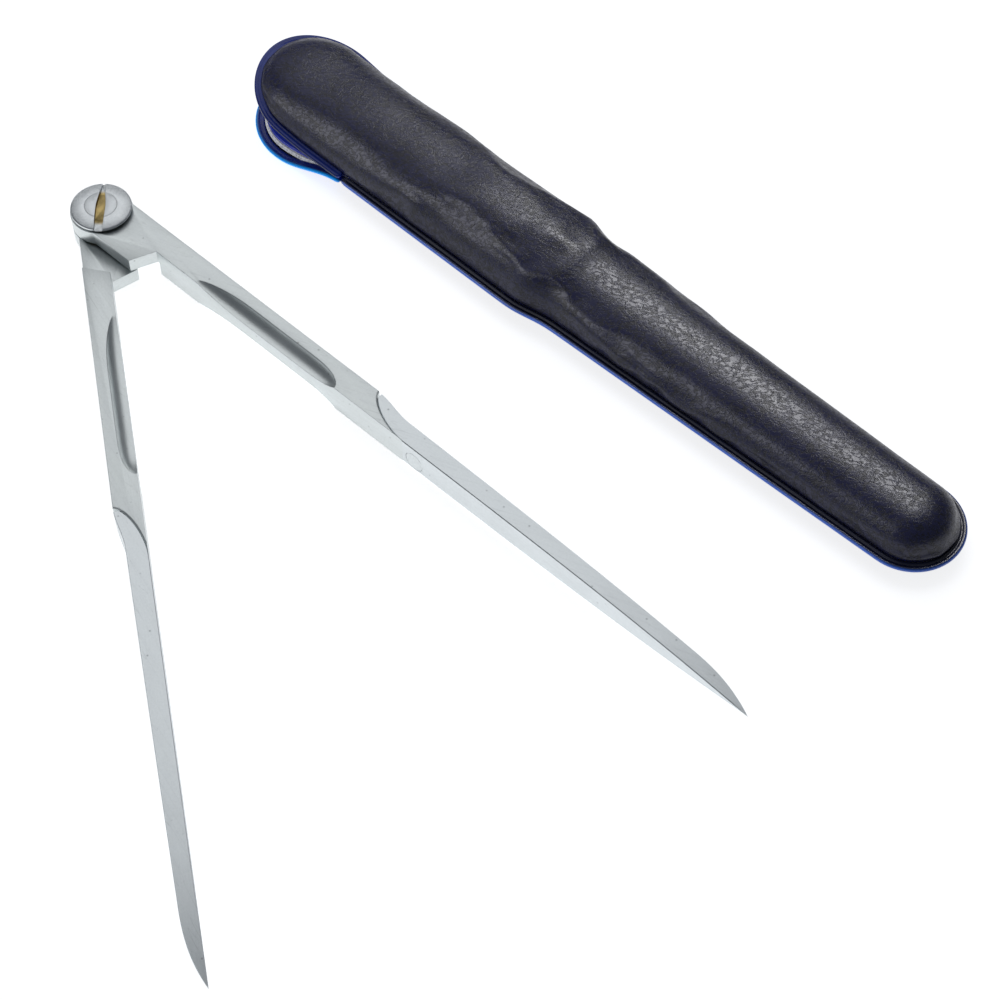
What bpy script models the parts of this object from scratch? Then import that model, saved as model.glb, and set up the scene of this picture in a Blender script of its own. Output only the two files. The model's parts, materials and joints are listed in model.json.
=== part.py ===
"""A pair of plain drafting dividers lying beside its padded slip pouch.

Every separate piece is its own named object. Lengths are in metres, +Z is up,
and +X runs along the pouch from its mouth to its closed end. The whole set
stands on the plane z = 0 with the middle of its footprint at the origin.
"""

import math

import bmesh
import bpy
from mathutils import Vector

MM = 0.001

# ---------------------------------------------------------------- clearances
GAP = 0.3 * MM                    # between pieces that touch or fit together
OVERSHOOT = 2.0 * MM              # how far a cutter reaches past what it cuts

# ------------------------------------------------------------- divider sizes
LEG_LENGTH = 150.0 * MM           # pivot to tip
LEG_THICKNESS = 6.0 * MM
LEG_WIDTH = 4.8 * MM
TAB_REACH = 14.4 * MM             # how far the lap plate runs down the leg
TAB_BREADTH = 4.7 * MM            # its width on the inner side of the leg
TAB_SLANT = 2.0 * MM              # how much its end is cut back
BOSS_RADIUS = 5.65 * MM

FLUTE_START = 24.3 * MM           # finger grip scooped from the inner edges
FLUTE_END = 58.8 * MM
FLUTE_RADIUS = 2.6 * MM
FLUTE_SIDE_OFFSET = 0.22 * MM     # axis of the scoop, inward of the inner face
FLUTE_LIFT = 1.03 * MM            # and above the face that it cuts

SCARF_OUTER = 65.0 * MM           # joint between the shank and its steel point
SCARF_INNER = 75.0 * MM
SCARF_POWER = 1.6
SHOULDER_RUN = 8.0 * MM
POINT_ROOT_WIDTH = 3.7 * MM
POINT_NOSE_START = 136.0 * MM
POINT_NOSE_WIDTH = 2.85 * MM
NOSE_POWER = 2.4
THINNING_POWER = 3.3
TIP_THICKNESS = 0.12 * MM

TONGUE_END = 80.5 * MM            # tongue of the shank inside the point
TONGUE_THICKNESS = 0.9 * MM
TONGUE_HEIGHT = 3.2 * MM
TONGUE_INSET = 1.45 * MM
RIVET_PLACE = 77.6 * MM
RIVET_LIFT = 2.3 * MM
RIVET_HEAD_RADIUS = 1.75 * MM
RIVET_HEAD_DEPTH = 0.45 * MM
RIVET_SHANK_RADIUS = 0.5 * MM
RIVET_LENGTH = 2.9 * MM

# --------------------------------------------------------------- pivot sizes
HEAD_RADIUS = 5.5 * MM
HEAD_RISE = 1.4 * MM              # top of the head above the leg
HEAD_CONE_DROP = 0.4 * MM
HEAD_RIM_CHAMFER = 0.15 * MM
CORE_RADIUS = 2.9 * MM
SLOT_WIDTH = 1.6 * MM
SLOT_DEPTH = 0.9 * MM
SLOT_TURN = math.radians(132.8)
SHANK_RADIUS = 1.5 * MM
BUSH_RADIUS = 2.6 * MM
SPRING_RADIUS = 4.4 * MM
SPRING_THICKNESS = 0.4 * MM
SPRING_DISH = 0.2 * MM
SPRING_POCKET_DEPTH = 0.9 * MM
FRICTION_THICKNESS = 0.5 * MM
FRICTION_POCKET_ABOVE = 0.15 * MM
NUT_RADIUS = 4.2 * MM
NUT_THICKNESS = 1.0 * MM
NUT_RECESS = 0.15 * MM
NUT_SLOT_WIDTH = 1.0 * MM
NUT_SLOT_DEPTH = 0.5 * MM

# --------------------------------------------------------------- pouch sizes
BODY_LENGTH = 131.4 * MM          # from the start of the weld to the closed end
LIP_LENGTH = 28.6 * MM            # loose lips beyond the weld
MOUTH_HALF_WIDTH = 11.7 * MM
SIDE_FLARE = 0.4 * MM
STEP_START = 42.0 * MM            # where the sides step in past the head's room
STEP_RUN = 9.0 * MM
STEP_DEPTH = 1.3 * MM
END_HALF_WIDTH = 9.4 * MM
BACK_LIP_HALF_WIDTH = 13.6 * MM
FRONT_LIP_HALF_WIDTH = 12.1 * MM

RIM_HEIGHT = 3.5 * MM             # middle of the welded rim above the table
RIM_THICKNESS = 1.2 * MM
EDGING_THICKNESS = 0.9 * MM       # round edging of the loose lips
PANEL_FOOT = 0.6 * MM             # the front and the back each stop this far from it
CROWN_AT_MOUTH = 12.8 * MM
CROWN_PAST_STEP = 11.4 * MM
CROWN_AT_END = 10.6 * MM
FRONT_LIP_CROWN = 12.4 * MM
FRONT_LIP_TIP = 10.5 * MM
FRONT_LIP_RISE_POWER = 2.2
BACK_LIP_EDGE = 0.25 * MM
FRONT_FULLNESS = 0.8              # exponent of the arched front's section
BACK_FULLNESS = 0.5               # and of the flatter back's
BACK_FLATNESS = 0.08              # how much of the back's rise is levelled out

COVER_THICKNESS = 0.6 * MM
PADDING_THICKNESS = 0.7 * MM
LINING_THICKNESS = 0.4 * MM

# ------------------------------------------------------------- lay-out sizes
DIVIDER_OFFSET_X = -24.3 * MM     # pivot from the pouch's weld start
DIVIDER_OFFSET_Y = -47.0 * MM     # and from its centre line
RIGHT_LEG_ANGLE = math.radians(0.45)
LEFT_LEG_ANGLE = math.radians(-35.54)

ROUND_STEPS = 32
PANEL_RINGS = 5
CAP_STATIONS = 9
SCARF_STEPS = 8
BOSS_STEPS = 22
SHOULDER_STEPS = 5
THINNING_STEPS = 10
THINNING_SKIPPED = 3              # stations left out where the point is still full
LIP_STEPS = 4
MOUTH_STEPS = 3
END_STEPS = 5

RIM_INSET = RIM_THICKNESS + GAP   # the panels stop this far inside the outline
PLATE_GAP = GAP                   # between the two lap plates


# ------------------------------------------------------------------- helpers
def clear_scene():
    """Removes every object of the starting scene."""
    for old in list(bpy.data.objects):
        bpy.data.objects.remove(old, do_unlink=True)


def new_collection(name):
    """Makes a collection under the scene."""
    made = bpy.data.collections.new(name)
    bpy.context.scene.collection.children.link(made)
    return made


def make_material(name, colour, roughness, metallic):
    """Makes a Principled material."""
    made = bpy.data.materials.new(name)
    made.use_nodes = True
    shader = made.node_tree.nodes["Principled BSDF"]
    shader.inputs["Base Color"].default_value = (*colour, 1.0)
    shader.inputs["Roughness"].default_value = roughness
    shader.inputs["Metallic"].default_value = metallic
    return made


def make_empty(name, location=(0, 0, 0), rotation=(0, 0, 0), parent=None):
    """Makes an empty that pieces hang from."""
    made = bpy.data.objects.new(name, None)
    made.location = location
    made.rotation_euler = rotation
    made.parent = parent
    PARTS.objects.link(made)
    return made


def make_piece(name, mesh, material, parent):
    """Makes one visible piece of the set."""
    made = bpy.data.objects.new(name, mesh)
    made.parent = parent
    mesh.materials.append(material)
    PARTS.objects.link(made)
    return made


def make_cutter(name, mesh, parent, location=(0, 0, 0), rotation=(0, 0, 0)):
    """Makes a hidden object that cuts or joins others."""
    made = bpy.data.objects.new(name, mesh)
    made.parent = parent
    made.location = location
    made.rotation_euler = rotation
    made.hide_render = True
    made.display_type = "WIRE"
    CUTTERS.objects.link(made)
    return made


def combine(piece, tool, operation="DIFFERENCE"):
    """Adds a live Boolean to a piece."""
    modifier = piece.modifiers.new(tool.name, "BOOLEAN")
    modifier.operation = operation
    modifier.object = tool
    modifier.solver = "EXACT"


def outline_mesh(name, points, low, high):
    """Extrudes a flat closed outline between two heights."""
    curve = bpy.data.curves.new(name, "CURVE")
    curve.dimensions = "2D"
    curve.fill_mode = "BOTH"
    curve.extrude = (high - low) / 2
    spline = curve.splines.new("POLY")
    spline.points.add(len(points) - 1)
    for slot, (x, y) in zip(spline.points, points):
        slot.co = (x, y, 0, 1)
    spline.use_cyclic_u = True
    holder = bpy.data.objects.new(name, curve)
    CUTTERS.objects.link(holder)
    bpy.context.view_layer.update()
    seen = holder.evaluated_get(bpy.context.evaluated_depsgraph_get())
    mesh = bpy.data.meshes.new_from_object(seen)
    bpy.data.objects.remove(holder)
    work = bmesh.new()
    work.from_mesh(mesh)
    bmesh.ops.remove_doubles(work, verts=work.verts, dist=0.001 * MM)
    bmesh.ops.translate(work, verts=work.verts, vec=(0, 0, (low + high) / 2))
    work.to_mesh(mesh)
    work.free()
    return mesh


def cylinder_mesh(name, radius, low, high):
    """A plain cylinder on the Z axis between two heights."""
    work = bmesh.new()
    bmesh.ops.create_cone(work, cap_ends=True, segments=ROUND_STEPS, radius1=radius,
                          radius2=radius, depth=high - low)
    bmesh.ops.translate(work, verts=work.verts, vec=(0, 0, (low + high) / 2))
    mesh = bpy.data.meshes.new(name)
    work.to_mesh(mesh)
    work.free()
    return mesh


def box_mesh(name, low, high):
    """A box between two corners."""
    low, high = Vector(low), Vector(high)
    work = bmesh.new()
    bmesh.ops.create_cube(work, size=1.0)
    bmesh.ops.scale(work, verts=work.verts, vec=high - low)
    bmesh.ops.translate(work, verts=work.verts, vec=(low + high) / 2)
    mesh = bpy.data.meshes.new(name)
    work.to_mesh(mesh)
    work.free()
    return mesh


def profile_mesh(name, profile, closed):
    """A polyline of (radius, height) points, ready for a Screw modifier."""
    mesh = bpy.data.meshes.new(name)
    edges = [(i, i + 1) for i in range(len(profile) - 1)]
    if closed:
        edges.append((len(profile) - 1, 0))
    mesh.from_pydata([(r, 0, z) for r, z in profile], edges, [])
    return mesh


def turn(piece):
    """Spins a profile round the Z axis of its object."""
    screw = piece.modifiers.new("turned", "SCREW")
    screw.axis = "Z"
    screw.steps = ROUND_STEPS
    screw.render_steps = ROUND_STEPS
    screw.use_merge_vertices = True
    screw.merge_threshold = 0.001 * MM
    screw.use_smooth_shade = True


def ring_profile(inner, outer, low, high):
    """The section of a plain ring, its outer side running down."""
    return [(inner, high), (outer, high), (outer, low), (inner, low)]


def smooth_step(amount):
    """Goes from 0 to 1 with level ends."""
    amount = min(max(amount, 0.0), 1.0)
    return amount * amount * (3 - 2 * amount)


def mix(a, b, amount):
    """Goes straight from a to b."""
    return a + (b - a) * amount


# ------------------------------------------------------------------ the legs
def scarf_points(shift):
    """The curved joint line from the inner edge to the outer edge."""
    run = SCARF_INNER - SCARF_OUTER
    points = []
    for i in range(SCARF_STEPS + 1):
        along = i / SCARF_STEPS
        across = (1 - (1 - along) ** SCARF_POWER) ** (1 / SCARF_POWER)
        points.append((SCARF_INNER - run * across + shift, LEG_WIDTH * along))
    return points


def shank_outline():
    """Boss, lap plate and shank as one outline, outer face at +Y."""
    start = math.asin(LEG_WIDTH / BOSS_RADIUS)
    stop = 2 * math.pi - math.asin(TAB_BREADTH / BOSS_RADIUS)
    points = []
    for i in range(BOSS_STEPS + 1):
        angle = mix(start, stop, i / BOSS_STEPS)
        points.append((BOSS_RADIUS * math.cos(angle), BOSS_RADIUS * math.sin(angle)))
    points.append((TAB_REACH - TAB_SLANT, -TAB_BREADTH))
    points.append((TAB_REACH, 0.0))
    points.extend(scarf_points(0.0))
    return points


def lap_outline():
    """What is cut from half the thickness, up to the slanted step."""
    slope = TAB_SLANT / TAB_BREADTH
    wall = TAB_REACH + GAP * math.hypot(1.0, slope)
    far = BOSS_RADIUS + TAB_BREADTH + OVERSHOOT
    return [(-far, -far), (wall + slope * far, -far), (wall - slope * far, far), (-far, far)]


def point_width(x):
    """Distance from the inner face of the point to its outer edge."""
    if x < POINT_NOSE_START:
        taper = (x - SCARF_OUTER) / (POINT_NOSE_START - SCARF_OUTER)
        body = mix(POINT_ROOT_WIDTH, POINT_NOSE_WIDTH, taper)
        shoulder = (LEG_WIDTH - POINT_ROOT_WIDTH) * (
            1 - smooth_step((x - SCARF_OUTER) / SHOULDER_RUN))
        return body + shoulder
    along = (x - POINT_NOSE_START) / (LEG_LENGTH - POINT_NOSE_START)
    return POINT_NOSE_WIDTH * (1 - along ** NOSE_POWER)


def point_half_thickness(x):
    """Half the thickness of the point."""
    along = max(x - SCARF_INNER, 0.0) / (LEG_LENGTH - SCARF_INNER)
    return max(LEG_THICKNESS / 2 * (1 - along ** THINNING_POWER), TIP_THICKNESS / 2)


def point_outline():
    """The steel point seen from above, from its scarf to its tip."""
    joint = scarf_points(GAP * 1.5)
    outer_start = joint[-1][0] + GAP
    points = list(reversed([p for p in joint if p[1] < point_width(p[0]) - GAP]))
    points.append((LEG_LENGTH, 0.0))
    nose = [0.9, 0.75, 0.55, 0.35, 0.15, 0.0]
    for along in nose:
        x = mix(POINT_NOSE_START, LEG_LENGTH, along)
        points.append((x, point_width(x)))
    for i in range(SHOULDER_STEPS, -1, -1):
        x = mix(outer_start, outer_start + SHOULDER_RUN, i / SHOULDER_STEPS)
        points.append((x, point_width(x)))
    return points


def point_side_outline():
    """The steel point seen from the side, as (x, height) pairs."""
    stations = [SCARF_OUTER - OVERSHOOT, SCARF_INNER]
    stations += [mix(SCARF_INNER, LEG_LENGTH, i / THINNING_STEPS)
                 for i in range(THINNING_SKIPPED, THINNING_STEPS)]
    stations.append(LEG_LENGTH + GAP)
    middle = LEG_THICKNESS / 2
    upper = [(x, middle + point_half_thickness(x)) for x in stations]
    lower = [(x, middle - point_half_thickness(x)) for x in reversed(stations)]
    return upper[::-1] + lower[::-1]


def flute_profile():
    """Radius of the finger scoop along the leg, its far end first."""
    touch = math.hypot(FLUTE_SIDE_OFFSET, FLUTE_LIFT)
    shape = [(0.0, 0.0), (0.08, 0.45), (0.2, 0.8), (0.36, 1.0), (0.7, 1.0), (0.86, 0.9),
             (0.95, 0.6), (1.0, 0.0)]
    length = FLUTE_END - FLUTE_START
    rows = [(mix(touch, FLUTE_RADIUS, r), FLUTE_START + length * a) for a, r in shape]
    rows = [(0.0, FLUTE_START - OVERSHOOT)] + rows + [(0.0, FLUTE_END + OVERSHOOT)]
    return rows[::-1]


def cut_flutes(piece, parent):
    """Scoops the finger grip from both inner edges of a shank."""
    heights = {"top": LEG_THICKNESS + FLUTE_LIFT, "bottom": -FLUTE_LIFT}
    for side, height in heights.items():
        mesh = profile_mesh(piece.name + "_flute_" + side, flute_profile(), closed=False)
        tool = make_cutter(mesh.name, mesh, parent, (0, FLUTE_SIDE_OFFSET, height),
                           (0, math.pi / 2, 0))
        turn(tool)
        combine(piece, tool)


def cut_bores(piece, parent, top_radius, top_depth, washer_depth):
    """Cuts the pocket, the bore and the washer seat of a lap plate."""
    low_face = (LEG_THICKNESS + PLATE_GAP) / 2
    cuts = {
        "pocket": (top_radius, LEG_THICKNESS - top_depth, LEG_THICKNESS + OVERSHOOT),
        "bore": (BUSH_RADIUS + GAP, low_face - OVERSHOOT, LEG_THICKNESS + OVERSHOOT),
        "washer_seat": (SPRING_RADIUS + GAP, low_face - OVERSHOOT, low_face + washer_depth),
    }
    for label, (radius, low, high) in cuts.items():
        mesh = cylinder_mesh(piece.name + "_" + label, radius, low, high)
        combine(piece, make_cutter(mesh.name, mesh, parent))


def make_shank(name, parent, pocket):
    """One leg of the dividers down to its scarf, with its tongue."""
    mesh = outline_mesh(name, shank_outline(), 0.0, LEG_THICKNESS)
    piece = make_piece(name, mesh, NICKEL, parent)
    lap = outline_mesh(name + "_lap", lap_outline(), -OVERSHOOT,
                       (LEG_THICKNESS + PLATE_GAP) / 2)
    combine(piece, make_cutter(lap.name, lap, parent))
    cut_bores(piece, parent, *pocket)
    cut_flutes(piece, parent)
    middle = LEG_THICKNESS / 2
    tongue = box_mesh(name + "_tongue",
                      (SCARF_OUTER, TONGUE_INSET, middle - TONGUE_HEIGHT / 2),
                      (TONGUE_END, TONGUE_INSET + TONGUE_THICKNESS, middle + TONGUE_HEIGHT / 2))
    combine(piece, make_cutter(tongue.name, tongue, parent), "UNION")
    combine(piece, rivet_hole(name, parent))


def rivet_hole(name, parent):
    """The cross hole that the rivet's shank passes through."""
    mesh = cylinder_mesh(name + "_rivet_hole", RIVET_SHANK_RADIUS + GAP, -OVERSHOOT,
                         RIVET_LENGTH + GAP)
    return make_cutter(mesh.name, mesh, parent, (RIVET_PLACE, 0, RIVET_LIFT),
                       (-math.pi / 2, 0, 0))


def make_point(name, parent):
    """One steel point, slotted for the shank's tongue."""
    mesh = outline_mesh(name, point_outline(), -OVERSHOOT, LEG_THICKNESS + OVERSHOOT)
    piece = make_piece(name, mesh, STEEL, parent)
    side = outline_mesh(name + "_side", point_side_outline(), -OVERSHOOT,
                        LEG_WIDTH + OVERSHOOT)
    tool = make_cutter(side.name, side, parent, (0, LEG_WIDTH, 0), (math.pi / 2, 0, 0))
    combine(piece, tool, "INTERSECT")
    middle = LEG_THICKNESS / 2
    reach = TONGUE_HEIGHT / 2 + GAP
    socket = box_mesh(name + "_socket",
                      (SCARF_OUTER - OVERSHOOT, TONGUE_INSET - GAP, middle - reach),
                      (TONGUE_END + GAP, TONGUE_INSET + TONGUE_THICKNESS + GAP, middle + reach))
    combine(piece, make_cutter(socket.name, socket, parent))
    combine(piece, rivet_hole(name, parent))
    seat = cylinder_mesh(name + "_rivet_seat", RIVET_HEAD_RADIUS + GAP, -OVERSHOOT,
                         RIVET_HEAD_DEPTH + GAP)
    combine(piece, make_cutter(seat.name, seat, parent, (RIVET_PLACE, 0, RIVET_LIFT),
                               (-math.pi / 2, 0, 0)))


def make_rivet(name, parent):
    """The flush rivet that locks a point on its shank."""
    profile = [(0.0, RIVET_LENGTH), (RIVET_SHANK_RADIUS, RIVET_LENGTH),
               (RIVET_SHANK_RADIUS, RIVET_HEAD_DEPTH), (RIVET_HEAD_RADIUS, RIVET_HEAD_DEPTH),
               (RIVET_HEAD_RADIUS, 0.0), (0.0, 0.0)]
    piece = make_piece(name, profile_mesh(name, profile, closed=False), STEEL, parent)
    piece.location = (RIVET_PLACE, 0, RIVET_LIFT)
    piece.rotation_euler = (-math.pi / 2, 0, 0)
    turn(piece)


def make_legs():
    """Both legs, each under an empty whose Z axis is the pivot."""
    right = make_empty("right_leg_frame", rotation=(0, 0, RIGHT_LEG_ANGLE), parent=DIVIDER)
    left_swing = make_empty("left_leg_frame", rotation=(0, 0, LEFT_LEG_ANGLE), parent=DIVIDER)
    left = make_empty("left_leg_turned_over", (0, 0, LEG_THICKNESS), (math.pi, 0, 0), left_swing)
    nut_pocket = NUT_RECESS + NUT_THICKNESS + GAP
    lower_seat = FRICTION_THICKNESS + 2 * GAP - PLATE_GAP - FRICTION_POCKET_ABOVE
    pockets = {
        "right": (right, (SPRING_RADIUS + GAP, SPRING_POCKET_DEPTH, FRICTION_POCKET_ABOVE)),
        "left": (left, (NUT_RADIUS + GAP, nut_pocket, lower_seat)),
    }
    for side, (frame, pocket) in pockets.items():
        make_shank(side + "_leg", frame, pocket)
        make_point(side + "_point", frame)
        make_rivet(side + "_point_rivet", frame)


# ----------------------------------------------------------------- the pivot
def slot_cutter(name, parent):
    """The screwdriver slot across the head and its core."""
    top = LEG_THICKNESS + HEAD_RISE
    reach = HEAD_RADIUS + OVERSHOOT
    mesh = box_mesh(name, (-reach, -SLOT_WIDTH / 2, top - SLOT_DEPTH),
                    (reach, SLOT_WIDTH / 2, top + OVERSHOOT))
    return make_cutter(name, mesh, parent, rotation=(0, 0, SLOT_TURN))


def make_head():
    """The slotted collar and the brass core that it is pressed on."""
    top = LEG_THICKNESS + HEAD_RISE
    under = LEG_THICKNESS + GAP
    edge = top - HEAD_CONE_DROP
    bore = CORE_RADIUS + GAP
    collar_profile = [(bore, top), (HEAD_RADIUS - HEAD_RIM_CHAMFER, edge),
                      (HEAD_RADIUS, edge - HEAD_RIM_CHAMFER), (HEAD_RADIUS, under), (bore, under)]
    collar = make_piece("head_collar", profile_mesh("head_collar", collar_profile, closed=True),
                        NICKEL, PIVOT)
    turn(collar)
    combine(collar, slot_cutter("collar_slot", PIVOT))

    shoulder = LEG_THICKNESS - SPRING_POCKET_DEPTH + GAP
    foot = NUT_RECESS + GAP
    core_profile = [(0.0, top), (CORE_RADIUS, top), (CORE_RADIUS, shoulder),
                    (SHANK_RADIUS, shoulder), (SHANK_RADIUS, foot), (0.0, foot)]
    core = make_piece("pivot_screw", profile_mesh("pivot_screw", core_profile, closed=False),
                      BRASS, PIVOT)
    turn(core)
    combine(core, slot_cutter("core_slot", PIVOT))


def make_washers():
    """The dished spring washer and the flat friction washer."""
    seat = LEG_THICKNESS - SPRING_POCKET_DEPTH + GAP
    inner = CORE_RADIUS + GAP
    dished = [(inner, seat + SPRING_THICKNESS + SPRING_DISH),
              (SPRING_RADIUS, seat + SPRING_THICKNESS), (SPRING_RADIUS, seat),
              (inner, seat + SPRING_DISH)]
    spring = make_piece("spring_washer", profile_mesh("spring_washer", dished, closed=True),
                        STEEL, DIVIDER)
    turn(spring)
    ceiling = (LEG_THICKNESS + PLATE_GAP) / 2 + FRICTION_POCKET_ABOVE
    flat = ring_profile(inner, SPRING_RADIUS, ceiling - GAP - FRICTION_THICKNESS, ceiling - GAP)
    friction = make_piece("friction_washer", profile_mesh("friction_washer", flat, closed=True),
                          BRASS, DIVIDER)
    turn(friction)


def make_bush_and_nut():
    """The bush that both plates turn on and the round nut under them."""
    nut_top = NUT_RECESS + NUT_THICKNESS
    bush_top = LEG_THICKNESS - SPRING_POCKET_DEPTH
    section = ring_profile(SHANK_RADIUS + GAP, BUSH_RADIUS, nut_top + GAP, bush_top)
    bush = make_piece("pivot_bush", profile_mesh("pivot_bush", section, closed=True), BRASS,
                      DIVIDER)
    turn(bush)
    section = ring_profile(SHANK_RADIUS + GAP, NUT_RADIUS, NUT_RECESS, nut_top)
    nut = make_piece("pivot_nut", profile_mesh("pivot_nut", section, closed=True), STEEL, DIVIDER)
    turn(nut)
    reach = NUT_RADIUS + OVERSHOOT
    slot = box_mesh("nut_slot", (-reach, -NUT_SLOT_WIDTH / 2, -OVERSHOOT),
                    (reach, NUT_SLOT_WIDTH / 2, NUT_RECESS + NUT_SLOT_DEPTH))
    combine(nut, make_cutter("nut_slot", slot, DIVIDER))


# ----------------------------------------------------------------- the pouch
def cap_middle():
    """Middle of the round closed end, along the pouch."""
    return BODY_LENGTH - END_HALF_WIDTH


def lip_middle(half_width):
    """Middle of a lip's round end, along the pouch."""
    return -(LIP_LENGTH - half_width)


def body_half_width(x):
    """Half the outline's width between the mouth and the closed end."""
    flare = SIDE_FLARE * min(x, STEP_START) / STEP_START
    drop = STEP_DEPTH * smooth_step((x - STEP_START) / STEP_RUN)
    narrow_start = STEP_START + STEP_RUN
    narrowing = MOUTH_HALF_WIDTH + SIDE_FLARE - STEP_DEPTH - END_HALF_WIDTH
    along = min(max((x - narrow_start) / (cap_middle() - narrow_start), 0.0), 1.0)
    return MOUTH_HALF_WIDTH + flare - drop - narrowing * along


def lip_half_width(x, widest):
    """Half a lip's width between the mouth and its round end."""
    return mix(MOUTH_HALF_WIDTH, widest, smooth_step(x / lip_middle(widest)))


def crown_height(x):
    """Top of the arched front along the body."""
    past = smooth_step((x - STEP_START) / (2 * STEP_RUN))
    along = min(max((x - STEP_START) / (cap_middle() - STEP_START), 0.0), 1.0)
    return mix(CROWN_AT_MOUTH, CROWN_PAST_STEP, past) - (CROWN_PAST_STEP - CROWN_AT_END) * along


def body_stations():
    """Where sections are taken along the body, closer together at the step."""
    step = [STEP_START, STEP_START + STEP_RUN * 0.3, STEP_START + STEP_RUN * 0.6,
            STEP_START + STEP_RUN]
    before = [STEP_START * i / MOUTH_STEPS for i in range(1, MOUTH_STEPS)]
    past = [mix(STEP_START + STEP_RUN, cap_middle(), i / END_STEPS)
            for i in range(1, END_STEPS + 1)]
    return [0.0] + before + step + past


def body_route(inset):
    """Outline of the body from the mouth at -Y round the end to +Y.

    Each entry holds the outline point and the spine point it is measured from.
    """
    sides = [((x, body_half_width(x) - inset), (x, 0.0)) for x in body_stations()]
    middle = cap_middle()
    radius = END_HALF_WIDTH - inset
    cap = []
    for i in range(1, CAP_STATIONS):
        angle = math.pi * (i / CAP_STATIONS - 0.5)
        cap.append(((middle + radius * math.cos(angle), radius * math.sin(angle)),
                    (middle, 0.0)))
    lower = [((x, -y), spine) for (x, y), spine in sides]
    return lower + cap + sides[::-1]


def lip_route(widest, inset, start):
    """Outline of a lip from the mouth at +Y round its free end to -Y."""
    middle = lip_middle(widest)
    xs = [mix(start, middle, i / LIP_STEPS) for i in range(LIP_STEPS + 1)]
    sides = [((x, lip_half_width(x, widest) - inset), (x, 0.0)) for x in xs]
    cap = []
    reach_x = LIP_LENGTH + middle - inset
    reach_y = widest - inset
    for i in range(1, CAP_STATIONS):
        angle = math.pi * (0.5 + i / CAP_STATIONS)
        cap.append(((middle + reach_x * math.cos(angle), reach_y * math.sin(angle)),
                    (middle, 0.0)))
    lower = [((x, -y), spine) for (x, y), spine in sides]
    return sides + cap + lower[::-1]


def front_height(point, spine, spread, depth):
    """Height of the arched front's surface, a depth below its outside."""
    rise = math.cos(spread) ** FRONT_FULLNESS
    foot = RIM_HEIGHT + PANEL_FOOT
    if spine[0] >= 0.0 and point[0] >= 0.0:
        return foot + (crown_height(spine[0]) - depth - foot) * rise
    free = min(max(-point[0] / LIP_LENGTH, 0.0), 1.0) ** FRONT_LIP_RISE_POWER
    edge = mix(foot, FRONT_LIP_TIP - depth, free)
    along = spine[0] / lip_middle(FRONT_LIP_HALF_WIDTH)
    crown = mix(CROWN_AT_MOUTH, FRONT_LIP_CROWN, smooth_step(along)) - depth
    return edge + (crown - edge) * rise


def back_edge_height(x):
    """Height of the back's edge: by the rim on the body, near the table on the lip."""
    top = RIM_HEIGHT - PANEL_FOOT
    if x >= 0.0:
        return top
    free = smooth_step(-x / (LIP_LENGTH - BACK_LIP_HALF_WIDTH))
    return mix(top, BACK_LIP_EDGE, free)


def back_height(point, spine, spread, depth):
    """Height of the back's surface, a depth above its outside."""
    rise = 1 - math.cos(spread) ** BACK_FULLNESS
    lift = max(rise - BACK_FLATNESS, 0.0) / (1 - BACK_FLATNESS)
    return depth + max(back_edge_height(point[0]) - depth, BACK_LIP_EDGE) * lift


def panel_mesh(name, route, height, fullness, depth, closed):
    """A panel made of rings that shrink from an outline to its spine."""
    work = bmesh.new()
    rings = []
    for ring in range(PANEL_RINGS + 1):
        spread = math.pi / 2 * ring / PANEL_RINGS
        share = math.sin(spread) ** fullness
        row = []
        for point, spine in route:
            x = mix(spine[0], point[0], share)
            y = mix(spine[1], point[1], share)
            row.append(work.verts.new((x, y, height(point, spine, spread, depth))))
        rings.append(row)
    for inner, outer in zip(rings, rings[1:]):
        count = len(route) if closed else len(route) - 1
        for i in range(count):
            after = (i + 1) % len(route)
            work.faces.new((inner[i], outer[i], outer[after], inner[after]))
    bmesh.ops.remove_doubles(work, verts=work.verts, dist=0.01 * MM)
    bmesh.ops.dissolve_degenerate(work, edges=work.edges, dist=0.001 * MM)
    bmesh.ops.recalc_face_normals(work, faces=work.faces)
    mesh = bpy.data.meshes.new(name)
    work.to_mesh(mesh)
    work.free()
    return mesh


def point_outside(mesh, up):
    """Turns an open panel so that its faces look away from the pouch's inside."""
    total = sum(face.normal.z * face.area for face in mesh.polygons)
    if (total > 0) != up:
        mesh.flip_normals()


def thicken(piece, thickness):
    """Gives an open panel its thickness, towards the inside of the pouch."""
    solid = piece.modifiers.new("thickness", "SOLIDIFY")
    solid.thickness = thickness
    solid.offset = -1.0
    solid.use_even_offset = False


def layer_table():
    """Each layer's name, depth below the outside, thickness and material."""
    padding = COVER_THICKNESS + GAP
    lining = padding + PADDING_THICKNESS + GAP
    return [("cover", 0.0, COVER_THICKNESS, LEATHERETTE),
            ("padding", padding, PADDING_THICKNESS, FOAM),
            ("lining", lining, LINING_THICKNESS, BLUE_VINYL)]


def make_front_panels():
    """The arched front of the body in three layers."""
    for label, depth, thickness, material in layer_table():
        route = body_route(RIM_INSET + depth)
        mesh = panel_mesh("front_" + label, route, front_height, FRONT_FULLNESS, depth, False)
        point_outside(mesh, up=True)
        thicken(make_piece(mesh.name, mesh, material, POUCH), thickness)


def make_back_panels():
    """The flat back, in one with its lip, in three layers."""
    for label, depth, thickness, material in layer_table():
        lip = lip_route(BACK_LIP_HALF_WIDTH, RIM_INSET + depth, 0.0)
        route = body_route(RIM_INSET + depth) + lip[1:-1]
        mesh = panel_mesh("back_" + label, route, back_height, BACK_FULLNESS, depth, True)
        point_outside(mesh, up=False)
        thicken(make_piece(mesh.name, mesh, material, POUCH), thickness)


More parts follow.
